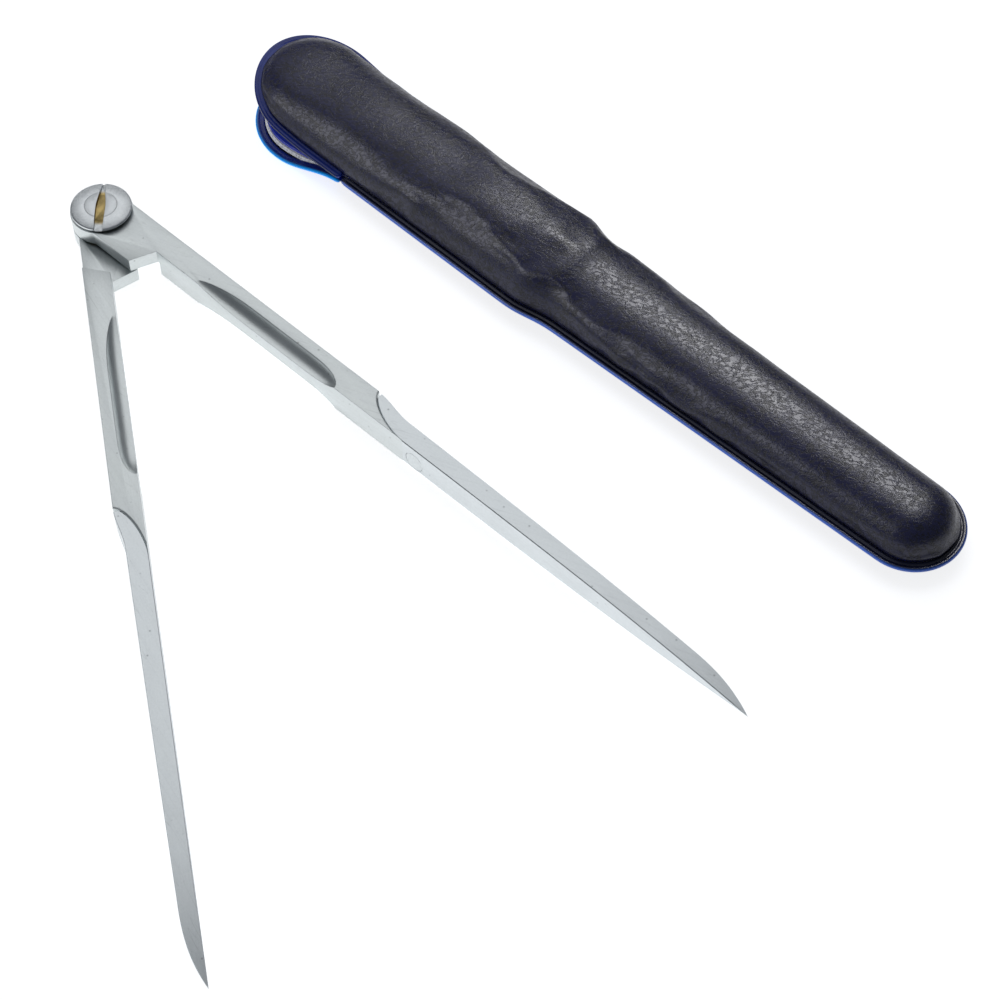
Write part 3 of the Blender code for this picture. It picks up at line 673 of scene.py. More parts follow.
# -------------------------------------------------------------------- the legs
@dataclass
class Leg:
    """One leg of the dividers: its shank, its steel point and the rivet between them.

    It is modelled with the pivot on the Z axis, the leg along +X and its outer face at +Y.
    """

    side: Side
    anchors: Anchors
    angle: float
    pocket_radius: float
    pocket_depth: float
    seat_depth: float
    length: float = 150.0 * MM
    thickness: float = 6.0 * MM
    width: float = 4.8 * MM
    tab_reach: float = 14.4 * MM
    tab_breadth: float = 4.7 * MM
    tab_slant: float = 2.0 * MM
    boss_radius: float = 5.65 * MM
    plate_gap: float = 0.3 * MM
    bore_radius: float = 2.9 * MM
    seat_radius: float = 4.7 * MM
    flute_start: float = 24.3 * MM
    flute_end: float = 58.8 * MM
    flute_radius: float = 2.6 * MM
    flute_side: float = 0.22 * MM
    flute_lift: float = 1.03 * MM
    scarf_outer: float = 65.0 * MM
    scarf_inner: float = 75.0 * MM
    scarf_power: float = 1.6
    facet_width: float = 0.75 * MM
    facet_drop: float = 0.16 * MM
    seam: float = 0.03 * MM
    root_width: float = 3.7 * MM
    shoulder_run: float = 8.0 * MM
    nose_start: float = 136.0 * MM
    nose_width: float = 2.85 * MM
    nose_power: float = 2.4
    thinning_power: float = 3.3
    tip_thickness: float = 0.12 * MM
    tongue_end: float = 80.5 * MM
    tongue_thickness: float = 0.9 * MM
    tongue_height: float = 3.2 * MM
    tongue_inset: float = 1.45 * MM
    rivet_place: float = 77.6 * MM
    rivet_lift: float = 2.3 * MM
    rivet_radius: float = 1.9 * MM
    rivet_depth: float = 0.45 * MM
    rivet_shank: float = 0.5 * MM
    rivet_length: float = 2.9 * MM
    edge_round: float = 0.09 * MM
    over: float = 2.0 * MM

    def frame(self) -> Matrix:
        """Takes the leg's own frame to the row frame."""
        place = Matrix.Translation(self.anchors.pivot) @ Matrix.Rotation(self.angle, 4, "Z")
        if self.side is Side.LEFT:
            lift = Matrix.Translation((0, 0, self.thickness))
            place = place @ lift @ Matrix.Rotation(math.pi, 4, "X")
        return place

    def scarf_height(self, x: float) -> float:
        """Distance of the joint line from the inner face, at a place along the leg."""
        share = clamp((self.scarf_inner - x) / (self.scarf_inner - self.scarf_outer))
        power = self.scarf_power
        return self.width * (1 - (1 - share**power) ** (1 / power))

    def scarf_line(self, shift: float, steps: int = 28) -> list[Point]:
        """The joint line from the inner edge to the outer edge."""
        run = self.scarf_inner - self.scarf_outer
        power = self.scarf_power
        line = []
        for i in range(steps + 1):
            along = i / steps
            across = (1 - (1 - along) ** power) ** (1 / power)
            line.append((self.scarf_inner - run * across + shift, self.width * along))
        return line

    def shank_outline(self) -> list[Point]:
        """Boss, lap plate and shank seen from above."""
        start = math.asin(self.width / self.boss_radius)
        stop = 2 * math.pi - math.asin(self.tab_breadth / self.boss_radius)
        boss = arc((0.0, 0.0), self.boss_radius, start, stop, 72)
        tab = [(self.tab_reach - self.tab_slant, -self.tab_breadth), (self.tab_reach, 0.0)]
        return boss + tab + self.scarf_line(0.0)

    def flute_tool(self, height: float) -> bpy.types.Object:
        """The spindle that scoops the finger grip from an inner edge."""
        touch = math.hypot(self.flute_side, self.flute_lift)
        run = self.flute_end - self.flute_start
        steps = 44
        rings = []
        for i in range(steps + 1):
            share = i / steps
            opening = 1 - (1 - min(share / 0.36, 1.0)) ** 2.2
            closing = 1 - (1 - min((1 - share) / 0.3, 1.0)) ** 4.2
            radius = mix(touch * 0.97, self.flute_radius, opening * closing)
            x = self.flute_start + run * share
            circle = arc((self.flute_side, height), radius, 0.0, 2 * math.pi, 48)[:-1]
            rings.append([Vector((x, y, z)) for y, z in circle])
        return Bench.loft("flute_tool", rings)

    def bore_tool(self, radius: float, low: float, high: float) -> bpy.types.Object:
        """A plain round cutter on the pivot."""
        return Bench.prism("bore_tool", arc((0.0, 0.0), radius, 0.0, 2 * math.pi, 72)[:-1],
                           low, high)

    def cross_tool(self, radius: float, near: float, far: float) -> bpy.types.Object:
        """A plain round cutter across the leg, on the rivet."""
        circle = arc((self.rivet_place, self.rivet_lift), radius, 0.0, 2 * math.pi, 48)[:-1]
        rings = [[Vector((x, y, z)) for x, z in circle] for y in (near, far)]
        return Bench.loft("cross_tool", rings)

    def box_tool(self, low: Point, high: Point, reach: float) -> bpy.types.Object:
        """A box round the tongue, centred on the leg's mid height."""
        outline = [low, (high[0], low[1]), high, (low[0], high[1])]
        middle = self.thickness / 2
        return Bench.prism("box_tool", outline, middle - reach, middle + reach)

    def cut_lap(self, shank: bpy.types.Object) -> None:
        """Halves the thickness at the pivot and cuts the bore, pocket and washer seat."""
        slope = self.tab_slant / self.tab_breadth
        wall = self.tab_reach + self.plate_gap * math.hypot(1.0, slope)
        far = self.boss_radius + self.tab_breadth + self.over
        outline = [(-far, -far), (wall + slope * far, -far), (wall - slope * far, far),
                   (-far, far)]
        face = (self.thickness + self.plate_gap) / 2
        Bench.combine(shank, Bench.prism("lap_tool", outline, -self.over, face))
        top = self.thickness + self.over
        cuts = [(self.pocket_radius, self.thickness - self.pocket_depth, top),
                (self.bore_radius, face - self.over, top),
                (self.seat_radius, face - self.over, face + self.seat_depth)]
        for radius, low, high in cuts:
            Bench.combine(shank, self.bore_tool(radius, low, high))

    def facet_shank(self, shank: bpy.types.Object) -> None:
        """Slopes the shank's upper and lower faces down to the joint line."""
        outline = self.scarf_line(0.0)
        inner = [(x - self.facet_width * (0.35 + 0.65 * (1 - y / self.width)), y)
                 for x, y in outline]
        over = self.over
        for sign, face in ((1, self.thickness), (-1, 0.0)):
            rings = []
            for (x, y), (x_in, _) in zip(outline, inner):
                slope = self.facet_drop / (x - x_in)
                rings.append([Vector((x_in, y, face)),
                              Vector((x + over, y, face - sign * slope * (x + over - x_in))),
                              Vector((x + over, y, face + sign * over)),
                              Vector((x_in, y, face + sign * over))])
            first, last = rings[0], rings[-1]
            rings.insert(0, [corner + Vector((0, -over, 0)) for corner in first])
            rings.append([corner + Vector((0, over, 0)) for corner in last])
            Bench.combine(shank, Bench.loft("facet_tool", rings))

    def build_shank(self) -> bpy.types.Object:
        """The nickelled shank with its lap plate, finger grip and tongue."""
        shank = Bench.prism(self.side.value + "_shank", self.shank_outline(), 0.0,
                            self.thickness)
        self.cut_lap(shank)
        for height in (self.thickness + self.flute_lift, -self.flute_lift):
            Bench.combine(shank, self.flute_tool(height))
        self.facet_shank(shank)
        Bench.soften(shank, self.edge_round)
        tongue = self.box_tool((self.scarf_outer, self.tongue_inset),
                               (self.tongue_end, self.tongue_inset + self.tongue_thickness),
                               self.tongue_height / 2)
        Bench.combine(shank, tongue, "UNION")
        Bench.combine(shank, self.cross_tool(self.rivet_shank + self.plate_gap, -self.over,
                                             self.rivet_length + self.plate_gap))
        Bench.shade(shank)
        return shank

    def point_width(self, x: float) -> float:
        """Distance of the point's outer edge from its inner face."""
        if x < self.nose_start:
            taper = (x - self.scarf_outer) / (self.nose_start - self.scarf_outer)
            shoulder = 1 - smooth_step((x - self.scarf_outer) / self.shoulder_run)
            body = mix(self.root_width, self.nose_width, taper)
            return body + (self.width - self.root_width) * shoulder
        along = (x - self.nose_start) / (self.length - self.nose_start)
        return self.nose_width * (1 - along**self.nose_power)

    def point_half(self, x: float) -> float:
        """Half the point's thickness."""
        along = max(x - self.scarf_inner, 0.0) / (self.length - self.scarf_inner)
        full = self.thickness / 2 - self.facet_drop
        return max(full * (1 - along**self.thinning_power), self.tip_thickness / 2)

    def point_section(self, x: float) -> Ring:
        """The point's section: a rectangle with broken corners."""
        inner = self.scarf_height(x - self.seam) if x < self.scarf_inner + self.seam else 0.0
        outer = max(self.point_width(x), inner + 0.02 * MM)
        half = self.point_half(x)
        middle = self.thickness / 2
        cut = min(self.edge_round * 1.4, (outer - inner) * 0.3, half * 0.3)
        corners = [(inner + cut, -half), (outer - cut, -half), (outer, cut - half),
                   (outer, half - cut), (outer - cut, half), (inner + cut, half),
                   (inner, half - cut), (inner, cut - half)]
        return [Vector((x, y, middle + z)) for y, z in corners]

    def build_point(self) -> bpy.types.Object:
        """The steel point, slotted for the tongue and bored for the rivet."""
        first = self.scarf_outer + 0.6 * MM
        scarf = [mix(first, self.scarf_inner, i / 24) for i in range(24)]
        blade = [mix(self.scarf_inner, self.nose_start, i / 20) for i in range(20)]
        nose = [mix(self.nose_start, self.length, math.sin(math.pi / 2 * i / 28))
                for i in range(29)]
        point = Bench.loft(self.side.value + "_steel_point",
                           [self.point_section(x) for x in scarf + blade + nose])
        Bench.shade(point)
        gap = self.plate_gap
        socket = self.box_tool(
            (self.scarf_outer - self.over, self.tongue_inset - gap),
            (self.tongue_end + gap, self.tongue_inset + self.tongue_thickness + gap),
            self.tongue_height / 2 + gap)
        Bench.combine(point, socket)
        Bench.combine(point, self.cross_tool(self.rivet_shank + gap, -self.over,
                                             self.rivet_length + gap))
        Bench.combine(point, self.cross_tool(self.rivet_radius + 0.05 * MM, -self.over,
                                             self.rivet_depth + 0.05 * MM))
        Bench.shade(point)
        return point

    def build_rivet(self) -> bpy.types.Object:
        """The flush rivet, its head just below the inner face."""
        crown = 0.04 * MM
        profile = [(0.0, self.rivet_length), (self.rivet_shank, self.rivet_length),
                   (self.rivet_shank, self.rivet_depth), (self.rivet_radius, self.rivet_depth),
                   (self.rivet_radius, crown), (self.rivet_radius - crown, 0.0), (0.0, 0.0)]
        rivet = Bench.turned(self.side.value + "_rivet", profile, closed=False, segments=64)
        Bench.shade(rivet)
        turn = Matrix.Rotation(-math.pi / 2, 4, "X")
        Bench.settle(rivet, Matrix.Translation((self.rivet_place, 0, self.rivet_lift)) @ turn)
        return rivet

    def dress(self, body: Body) -> None:
        """Builds the leg's pieces, places them and gives them their finishes."""
        name = self.side.value
        nickel = SatinMetal(name + "_nickel", (0.74, 0.78, 0.79), (0.63, 0.67, 0.67), 0.4,
                            self.angle).material()
        steel = SatinMetal(name + "_steel", (0.75, 0.79, 0.81), (0.64, 0.68, 0.7), 0.36,
                           self.angle, 0.004 * MM).material()
        rivet = SatinMetal(name + "_rivet_steel", (0.8, 0.84, 0.85), (0.6, 0.64, 0.66), 0.38,
                           self.angle + math.pi / 2).material()
        pieces = [(self.build_shank(), nickel, Slot.NICKEL, "_leg"),
                  (self.build_point(), steel, Slot.STEEL, "_point"),
                  (self.build_rivet(), rivet, Slot.STEEL, "_point_rivet")]
        for piece, material, slot, node in pieces:
            Bench.settle(piece, self.frame())
            Seat(material, slot, body, (name + node,)).take(piece)


# ------------------------------------------------------------------- the pivot
@dataclass
class Pivot:
    """The slotted head, its brass core, and what holds the two plates together."""

    anchors: Anchors
    leg_thickness: float = 6.0 * MM
    head_radius: float = 5.5 * MM
    head_rise: float = 1.4 * MM
    cone_drop: float = 0.4 * MM
    rim_chamfer: float = 0.15 * MM
    core_radius: float = 2.9 * MM
    press_line: float = 0.03 * MM
    gap: float = 0.3 * MM
    slot_depth: float = 0.9 * MM
    slot_turn: float = math.radians(132.8)
    slot_far: float = 0.45 * MM
    slot_middle: float = 1.75 * MM
    slot_near: float = 1.5 * MM
    bare_radius: float = 4.0 * MM
    shank_radius: float = 1.5 * MM
    bush_radius: float = 2.6 * MM
    spring_radius: float = 4.4 * MM
    spring_thickness: float = 0.4 * MM
    spring_dish: float = 0.2 * MM
    spring_pocket: float = 0.9 * MM
    friction_thickness: float = 0.5 * MM
    friction_above: float = 0.15 * MM
    nut_radius: float = 4.2 * MM
    nut_thickness: float = 1.0 * MM
    nut_recess: float = 0.15 * MM
    nut_slot: float = 1.0 * MM
    nut_slot_depth: float = 0.5 * MM

    def slot_tool(self) -> bpy.types.Object:
        """The screwdriver slot, narrow at its far end and full at its middle."""
        reach = self.head_radius + 0.4 * MM
        steps = 20
        upper = []
        for i in range(steps + 1):
            share = i / steps
            far = mix(self.slot_near, self.slot_middle, smooth_step(share / 0.45))
            width = mix(far, self.slot_far, smooth_step((share - 0.45) / 0.55))
            upper.append((mix(-reach, reach, share), width / 2))
        outline = upper + [(x, -y) for x, y in reversed(upper)]
        top = self.leg_thickness + self.head_rise
        tool = Bench.prism("slot_tool", outline, top - self.slot_depth, top + self.gap * 2)
        Bench.settle(tool, Matrix.Rotation(self.slot_turn, 4, "Z"))
        return tool

    def build_collar(self) -> bpy.types.Object:
        """The coned collar."""
        top = self.leg_thickness + self.head_rise
        edge = top - self.cone_drop
        under = self.leg_thickness + self.gap
        bore = self.core_radius + self.press_line
        radius, chamfer = self.head_radius, self.rim_chamfer
        profile = [(bore, top), (radius - chamfer * 2, edge), (radius, edge - chamfer),
                   (radius, under + chamfer), (radius - chamfer, under), (bore, under)]
        collar = Bench.turned("head_cap", profile, closed=True, segments=144)
        Bench.combine(collar, self.slot_tool())
        Bench.soften(collar, 0.04 * MM)
        return collar

    def build_core(self) -> bpy.types.Object:
        """The brass core with its shank down to the nut."""
        top = self.leg_thickness + self.head_rise
        shoulder = self.leg_thickness - self.spring_pocket + self.gap
        foot = self.nut_recess + self.gap
        profile = [(0.0, top), (self.core_radius, top), (self.core_radius, shoulder),
                   (self.shank_radius, shoulder), (self.shank_radius, foot), (0.0, foot)]
        core = Bench.turned("head_core", profile, closed=False)
        Bench.combine(core, self.slot_tool())
        Bench.soften(core, 0.03 * MM)
        return core

    def build_ring(self, name: str, inner: float, outer: float, low: float,
                   high: float) -> bpy.types.Object:
        """A plain ring with broken edges."""
        ring = Bench.turned(name, [(inner, high), (outer, high), (outer, low), (inner, low)],
                            closed=True)
        Bench.soften(ring, 0.06 * MM)
        return ring

    def build_spring(self) -> bpy.types.Object:
        """The dished spring washer."""
        seat = self.leg_thickness - self.spring_pocket + self.gap
        inner = self.core_radius + self.gap
        steps = 5
        upper = [(mix(inner, self.spring_radius, i / steps),
                  seat + self.spring_thickness + self.spring_dish * (1 - (i / steps) ** 1.5))
                 for i in range(steps + 1)]
        lower = [(r, z - self.spring_thickness) for r, z in reversed(upper)]
        spring = Bench.turned("spring_disc", upper + lower, closed=True)
        Bench.soften(spring, 0.05 * MM)
        return spring

    def build_nut(self) -> bpy.types.Object:
        """The round slotted nut."""
        low, high = self.nut_recess, self.nut_recess + self.nut_thickness
        nut = Bench.turned("round_nut", [(self.shank_radius + self.gap, high),
                                         (self.nut_radius, high), (self.nut_radius, low),
                                         (self.shank_radius + self.gap, low)], closed=True)
        reach, half = self.nut_radius + self.gap, self.nut_slot / 2
        outline = [(-reach, -half), (reach, -half), (reach, half), (-reach, half)]
        Bench.combine(nut, Bench.prism("nut_tool", outline, -self.gap, low + self.nut_slot_depth))
        Bench.soften(nut, 0.05 * MM)
        return nut

    def dress(self) -> None:
        """Builds the pivot's pieces and gives them their finishes."""
        centre = (self.anchors.pivot.x, self.anchors.pivot.y)
        top = self.leg_thickness + self.head_rise
        bare = (0.62, 0.47, 0.2)
        light, dark = (0.76, 0.79, 0.81), (0.6, 0.63, 0.65)
        cap = TurnedMetal("turned_nickel", light, dark, 0.3, centre, bare, self.bare_radius,
                          top - self.cone_drop - 0.1 * MM).material()
        core = TurnedMetal("plated_brass", light, dark, 0.34, centre, bare, self.bare_radius,
                           top - 0.08 * MM).material()
        brass = TurnedMetal("turned_brass", (0.75, 0.58, 0.27), (0.5, 0.36, 0.15), 0.34,
                            centre).material()
        steel = TurnedMetal("turned_steel", (0.75, 0.78, 0.8), (0.5, 0.54, 0.56), 0.32,
                            centre).material()
        nut_top = self.nut_recess + self.nut_thickness
        ceiling = self.leg_thickness / 2 + self.gap / 2 + self.friction_above - self.gap
        inner = self.core_radius + self.gap
        bush = self.build_ring("hinge_bush", self.shank_radius + self.gap, self.bush_radius,
                               nut_top + self.gap, self.leg_thickness - self.spring_pocket)
        friction = self.build_ring("friction_disc", inner, self.spring_radius,
                                   ceiling - self.friction_thickness, ceiling)
        seats = [(self.build_collar(), cap, Slot.NICKEL, Body.PIVOT_HEAD, "head_collar"),
                 (self.build_core(), core, Slot.BRASS, Body.PIVOT_HEAD, "pivot_screw"),
                 (self.build_spring(), steel, Slot.STEEL, Body.RIGHT_ARM, "spring_washer"),
                 (friction, brass, Slot.BRASS, Body.LEFT_ARM, "friction_washer"),
                 (bush, brass, Slot.BRASS, Body.LEFT_ARM, "pivot_bush"),
                 (self.build_nut(), steel, Slot.STEEL, Body.LEFT_ARM, "pivot_nut")]
        for piece, material, slot, body, node in seats:
            Bench.settle(piece, Matrix.Translation(self.anchors.pivot))
            Seat(material, slot, body, (node,)).take(piece)


# ------------------------------------------------------------------- the pouch
@dataclass(frozen=True)
class PouchForm:
    """The pouch's outline and heights. X runs from the start of the weld to the closed end."""

    body_length: float = 131.4 * MM
    lip_length: float = 28.6 * MM
    mouth_half: float = 11.7 * MM
    side_flare: float = 0.4 * MM
    step_start: float = 42.0 * MM
    step_run: float = 9.0 * MM
    step_depth: float = 1.3 * MM
    end_half: float = 9.4 * MM
    back_lip_half: float = 13.6 * MM
    front_lip_half: float = 12.1 * MM
    rim_height: float = 3.5 * MM
    panel_foot: float = 0.6 * MM
    crown_mouth: float = 12.8 * MM
    crown_past_step: float = 11.4 * MM
    crown_end: float = 10.6 * MM
    lip_crown: float = 12.4 * MM
    lip_tip: float = 10.5 * MM
    lip_rise_power: float = 2.2
    back_lip_edge: float = 0.25 * MM
    front_fullness: float = 0.8
    back_fullness: float = 0.5
    back_flatness: float = 0.08
    station: float = 2.4 * MM
    cap_steps: int = 28

    @property
    def cap_middle(self) -> float:
        """Middle of the round closed end."""
        return self.body_length - self.end_half

    def lip_middle(self, half: float) -> float:
        """Middle of a lip's round end."""
        return -(self.lip_length - half)

    def body_half(self, x: float) -> float:
        """Half the outline's width on the body."""
        flare = self.side_flare * min(x, self.step_start) / self.step_start
        drop = self.step_depth * smooth_step((x - self.step_start) / self.step_run)
        narrow = self.step_start + self.step_run
        narrowing = self.mouth_half + self.side_flare - self.step_depth - self.end_half
        along = clamp((x - narrow) / (self.cap_middle - narrow))
        return self.mouth_half + flare - drop - narrowing * along

    def lip_half(self, x: float, widest: float) -> float:
        """Half a lip's width."""
        return mix(self.mouth_half, widest, smooth_step(x / self.lip_middle(widest)))

    def crown(self, x: float) -> float:
        """Top of the arched front along the body."""
        past = smooth_step((x - self.step_start) / (2 * self.step_run))
        along = clamp((x - self.step_start) / (self.cap_middle - self.step_start))
        fall = (self.crown_past_step - self.crown_end) * along
        return mix(self.crown_mouth, self.crown_past_step, past) - fall

    def body_route(self, inset: float) -> list[tuple[Point, Point]]:
        """Outline and spine points from the mouth at -Y round the end to +Y."""
        count = round(self.cap_middle / self.station)
        sides = []
        for i in range(count + 1):
            x = self.cap_middle * i / count
            sides.append(((x, self.body_half(x) - inset), (x, 0.0)))
        radius = self.end_half - inset
        cap = [(p, (self.cap_middle, 0.0)) for p in
               arc((self.cap_middle, 0.0), radius, -math.pi / 2, math.pi / 2,
                   self.cap_steps)[1:-1]]
        return [((x, -y), spine) for (x, y), spine in sides] + cap + sides[::-1]

    def lip_route(self, widest: float, inset: float,
                  start: float = 0.0) -> list[tuple[Point, Point]]:
        """Outline and spine points of a lip from +Y round its free end to -Y."""
        middle = self.lip_middle(widest)
        count = round(-middle / self.station * 1.4)
        xs = [mix(start, middle, i / count) for i in range(count + 1)]
        sides = [((x, self.lip_half(x, widest) - inset), (x, 0.0)) for x in xs]
        reach_x, reach_y = self.lip_length + middle - inset, widest - inset
        cap = []
        for i in range(1, self.cap_steps):
            angle = math.pi * (0.5 + i / self.cap_steps)
            cap.append(((middle + reach_x * math.cos(angle), reach_y * math.sin(angle)),
                        (middle, 0.0)))
        return sides + cap + [((x, -y), spine) for (x, y), spine in reversed(sides)]

    def front_height(self, point: Point, spine: Point, spread: float, depth: float) -> float:
        """Height of the arched front, a depth below its outside."""
        rise = max(math.cos(spread), 0.0) ** self.front_fullness
        foot = self.rim_height + self.panel_foot
        if spine[0] >= 0.0 and point[0] >= 0.0:
            return foot + (self.crown(spine[0]) - depth - foot) * rise
        free = clamp(-point[0] / self.lip_length) ** self.lip_rise_power
        edge = mix(foot, self.lip_tip - depth, free)
        along = spine[0] / self.lip_middle(self.front_lip_half)
        crown = mix(self.crown_mouth, self.lip_crown, smooth_step(along)) - depth
        return edge + (crown - edge) * rise

    def back_edge(self, x: float) -> float:
        """Height of the back's edge."""
        top = self.rim_height - self.panel_foot
        if x >= 0.0:
            return top
        free = smooth_step(-x / (self.lip_length - self.back_lip_half))
        return mix(top, self.back_lip_edge, free)

    def back_height(self, point: Point, spine: Point, spread: float, depth: float) -> float:
        """Height of the flat back, a depth above its outside."""
        rise = 1 - max(math.cos(spread), 0.0) ** self.back_fullness
        lift = max(rise - self.back_flatness, 0.0) / (1 - self.back_flatness)
        return depth + max(self.back_edge(point[0]) - depth, self.back_lip_edge) * lift


@dataclass(frozen=True)
class Layer:
    """One layer of the pouch's wall."""

    label: str
    depth: float
    thickness: float


@dataclass
class Pouch:
    """The padded slip pouch: front and back in three layers, the weld and the lips' edges."""

    anchors: Anchors
    form: PouchForm = PouchForm()
    rim_inset: float = 1.5 * MM
    rings: int = 18
    bend_inside: float = 8.0 * MM
    bend_outside: float = 7.0 * MM
    flange_tuck: float = 0.5 * MM
    slack_cap: float = 0.35 * MM
    sim_frames: int = 14
    skin: Layer = Layer("skin", 0.0, 0.6 * MM)
    foam: Layer = Layer("foam", 0.9 * MM, 0.7 * MM)
    lining: Layer = Layer("lining", 1.9 * MM, 0.4 * MM)

    def panel(self, name: str, route: list[tuple[Point, Point]],
              height: Callable[[Point, Point, float, float], float], fullness: float,
              depth: float) -> bpy.types.Object:
        """A panel extruded inwards ring by ring, from its outline to its spine."""
        rings = []
        for ring in range(self.rings + 1):
            spread = math.pi / 2 * (1 - ring / self.rings)
            share = math.sin(spread) ** fullness
            row = []
            for point, spine in route:
                x, y = mix(spine[0], point[0], share), mix(spine[1], point[1], share)
                row.append(Vector((x, y, height(point, spine, spread, depth))))
            rings.append(row)
        return Bench.loft(name, rings, capped=False)

    def face(self, piece: bpy.types.Object, up: bool) -> None:
        """Turns an open panel so that it faces up, or down."""
        total = sum(face.normal.z * face.area for face in piece.data.polygons)
        if (total > 0) != up:
            with Bench.editing(piece):
                bpy.ops.mesh.select_all(action="SELECT")
                bpy.ops.mesh.flip_normals()

    def relax(self, piece: bpy.types.Object, up: bool) -> None:
        """Lets a skin settle as slack cloth over its padding, its edge held by the weld."""
        rest = [vertex.co.copy() for vertex in piece.data.vertices]
        held = piece.vertex_groups.new(name="held")
        rim = {i for e in self.open_edges(piece) for i in e}
        for vertex in piece.data.vertices:
            held.add([vertex.index], 1.0 if vertex.index in rim else 0.02, "REPLACE")
        cloth = piece.modifiers.new("cloth", "CLOTH")
        settings = cloth.settings
        settings.quality = 6
        settings.mass = 0.1
        settings.tension_stiffness = 12.0
        settings.compression_stiffness = 12.0
        settings.shear_stiffness = 4.0
        settings.bending_stiffness = 0.01
        settings.vertex_group_mass = "held"
        settings.shrink_min = -0.03
        settings.use_pressure = True
        settings.uniform_pressure_force = 1.5
        settings.effector_weights.gravity = 0.0
        scene = bpy.context.scene
        for frame in range(1, self.sim_frames + 1):
            scene.frame_set(frame)
        Bench.pick(piece)
        bpy.ops.object.modifier_apply(modifier=cloth.name)
        scene.frame_set(1)
        piece.vertex_groups.clear()
        sign = 1.0 if up else -1.0
        for vertex, start in zip(piece.data.vertices, rest):
            moved = vertex.co - start
            if moved.length > self.slack_cap:
                moved = moved * (self.slack_cap / moved.length)
            swell = noise.noise(start * 70.0) * 0.16 + noise.noise(start * 210.0) * 0.06
            moved.z += sign * swell * MM * smooth_step((start.z - self.form.rim_height) / (3 * MM))
            vertex.co = start + moved

    @staticmethod
    def open_edges(piece: bpy.types.Object) -> list[tuple[int, int]]:
        """The edges that only one face uses."""
        used: dict[tuple[int, int], int] = {}
        for face in piece.data.polygons:
            for key in face.edge_keys:
                used[key] = used.get(key, 0) + 1
        return [key for key, count in used.items() if count == 1]

    def thicken(self, piece: bpy.types.Object, thickness: float) -> None:
        """Gives an open panel its thickness and its smooth surface."""
        Bench.apply(piece, "SOLIDIFY", thickness=thickness, offset=-1.0, use_even_offset=False)
        Bench.apply(piece, "SUBSURF", levels=1, render_levels=1)
        Bench.pick(piece)
        bpy.ops.object.shade_smooth()

    def mark(self, piece: bpy.types.Object, edge: Callable[[Vector], float] | None = None) -> None:
        """Settles a piece on the pouch and stores what its finish reads.

        Args:
            piece: The piece, still in the pouch's own frame.
            edge: How far a point belongs to the edge band, from 0 to 1.
        """
        levels = [edge(v.co) if edge else 0.0 for v in piece.data.vertices]
        Bench.settle(piece, Matrix.Translation(self.anchors.weld))
        place = piece.data.attributes.new("rest_place", "FLOAT_VECTOR", "POINT")
        place.data.foreach_set("vector", [c for v in piece.data.vertices for c in v.co])
        band = piece.data.attributes.new("edge", "FLOAT", "POINT")
        band.data.foreach_set("value", levels)

    def bend_points(self) -> tuple[Vector, Vector]:
        """Where the bend at the mouth starts and ends."""
        crown = Vector((0, 0, self.form.crown_mouth))
        return (self.anchors.weld + crown + Vector((self.bend_inside, 0, 0)),
                self.anchors.weld + crown - Vector((self.bend_outside, 0, 0)))

    def front_route(self, inset: float) -> list[tuple[Point, Point]]:
        """Outline of the whole front: the body and its lip."""
        lip = self.form.lip_route(self.form.front_lip_half, inset)
        return self.form.body_route(inset) + lip[1:-1]

    def back_route(self, inset: float) -> list[tuple[Point, Point]]:
        """Outline of the whole back: the body and its lip."""
        lip = self.form.lip_route(self.form.back_lip_half, inset)
        return self.form.body_route(inset) + lip[1:-1]

    def flange(self, name: str, route: list[tuple[Point, Point]], height: Callable[[float], float],
               thickness: float, groove: float) -> bpy.types.Object:
        """A flat welded edge swept along an outline, with a pressed line in its upper face.

        Args:
            name: The piece's name.
            route: The outline's points, in order.
            height: Height of the edge's middle at an outline point's X.
            thickness: How thick the edge is.
            groove: How deep the pressed line is.

        Returns:
            The new piece.
        """
        width = self.rim_inset + self.flange_tuck
        half = thickness / 2
        section = [(0.0, 0.0), (0.06, 0.75), (0.16, 1.0), (0.34, 0.96), (0.44, 1 - groove),
                   (0.56, 1 - groove), (0.66, 0.94), (1.0, 0.7), (1.0, -0.7), (0.5, -0.95),
                   (0.16, -1.0), (0.06, -0.75)]
        line = [Vector((x, y, height(x))) for (x, y), _ in route]
        rings = []
        for i, place in enumerate(line):
            ahead = line[min(i + 1, len(line) - 1)] - line[max(i - 1, 0)]
            inward = Vector((-ahead.y, ahead.x, 0)).normalized()
            rings.append([place + inward * (width * across) + Vector((0, 0, half * up))
                          for across, up in section])
        piece = Bench.loft(name, rings)
        Bench.apply(piece, "SUBSURF", levels=1, render_levels=1)
        Bench.pick(piece)
        bpy.ops.object.shade_smooth()
        return piece

    def make_front(self, finishes: dict[str, bpy.types.Material]) -> None:
        """Builds the arched front in three layers, each in one with its lip."""
        slots = {"skin": Slot.LEATHERETTE, "foam": Slot.FOAM, "lining": Slot.VINYL}
        nodes = {"skin": "cover", "foam": "padding", "lining": "lining"}
        for layer in (self.skin, self.foam, self.lining):
            piece = self.panel("pouch_front_" + layer.label,
                               self.front_route(self.rim_inset + layer.depth * 0.4),
                               self.form.front_height, self.form.front_fullness, layer.depth)
            self.face(piece, up=True)
            if layer is self.skin:
                self.relax(piece, up=True)
            self.thicken(piece, layer.thickness)
            self.mark(piece)
            node = nodes[layer.label]
            seat = Seat(finishes[layer.label], slots[layer.label], Body.POUCH,
                        ("front_" + node, "front_lip_" + node))
            seat.bend(piece, *self.bend_points())
            self.declare(layer)

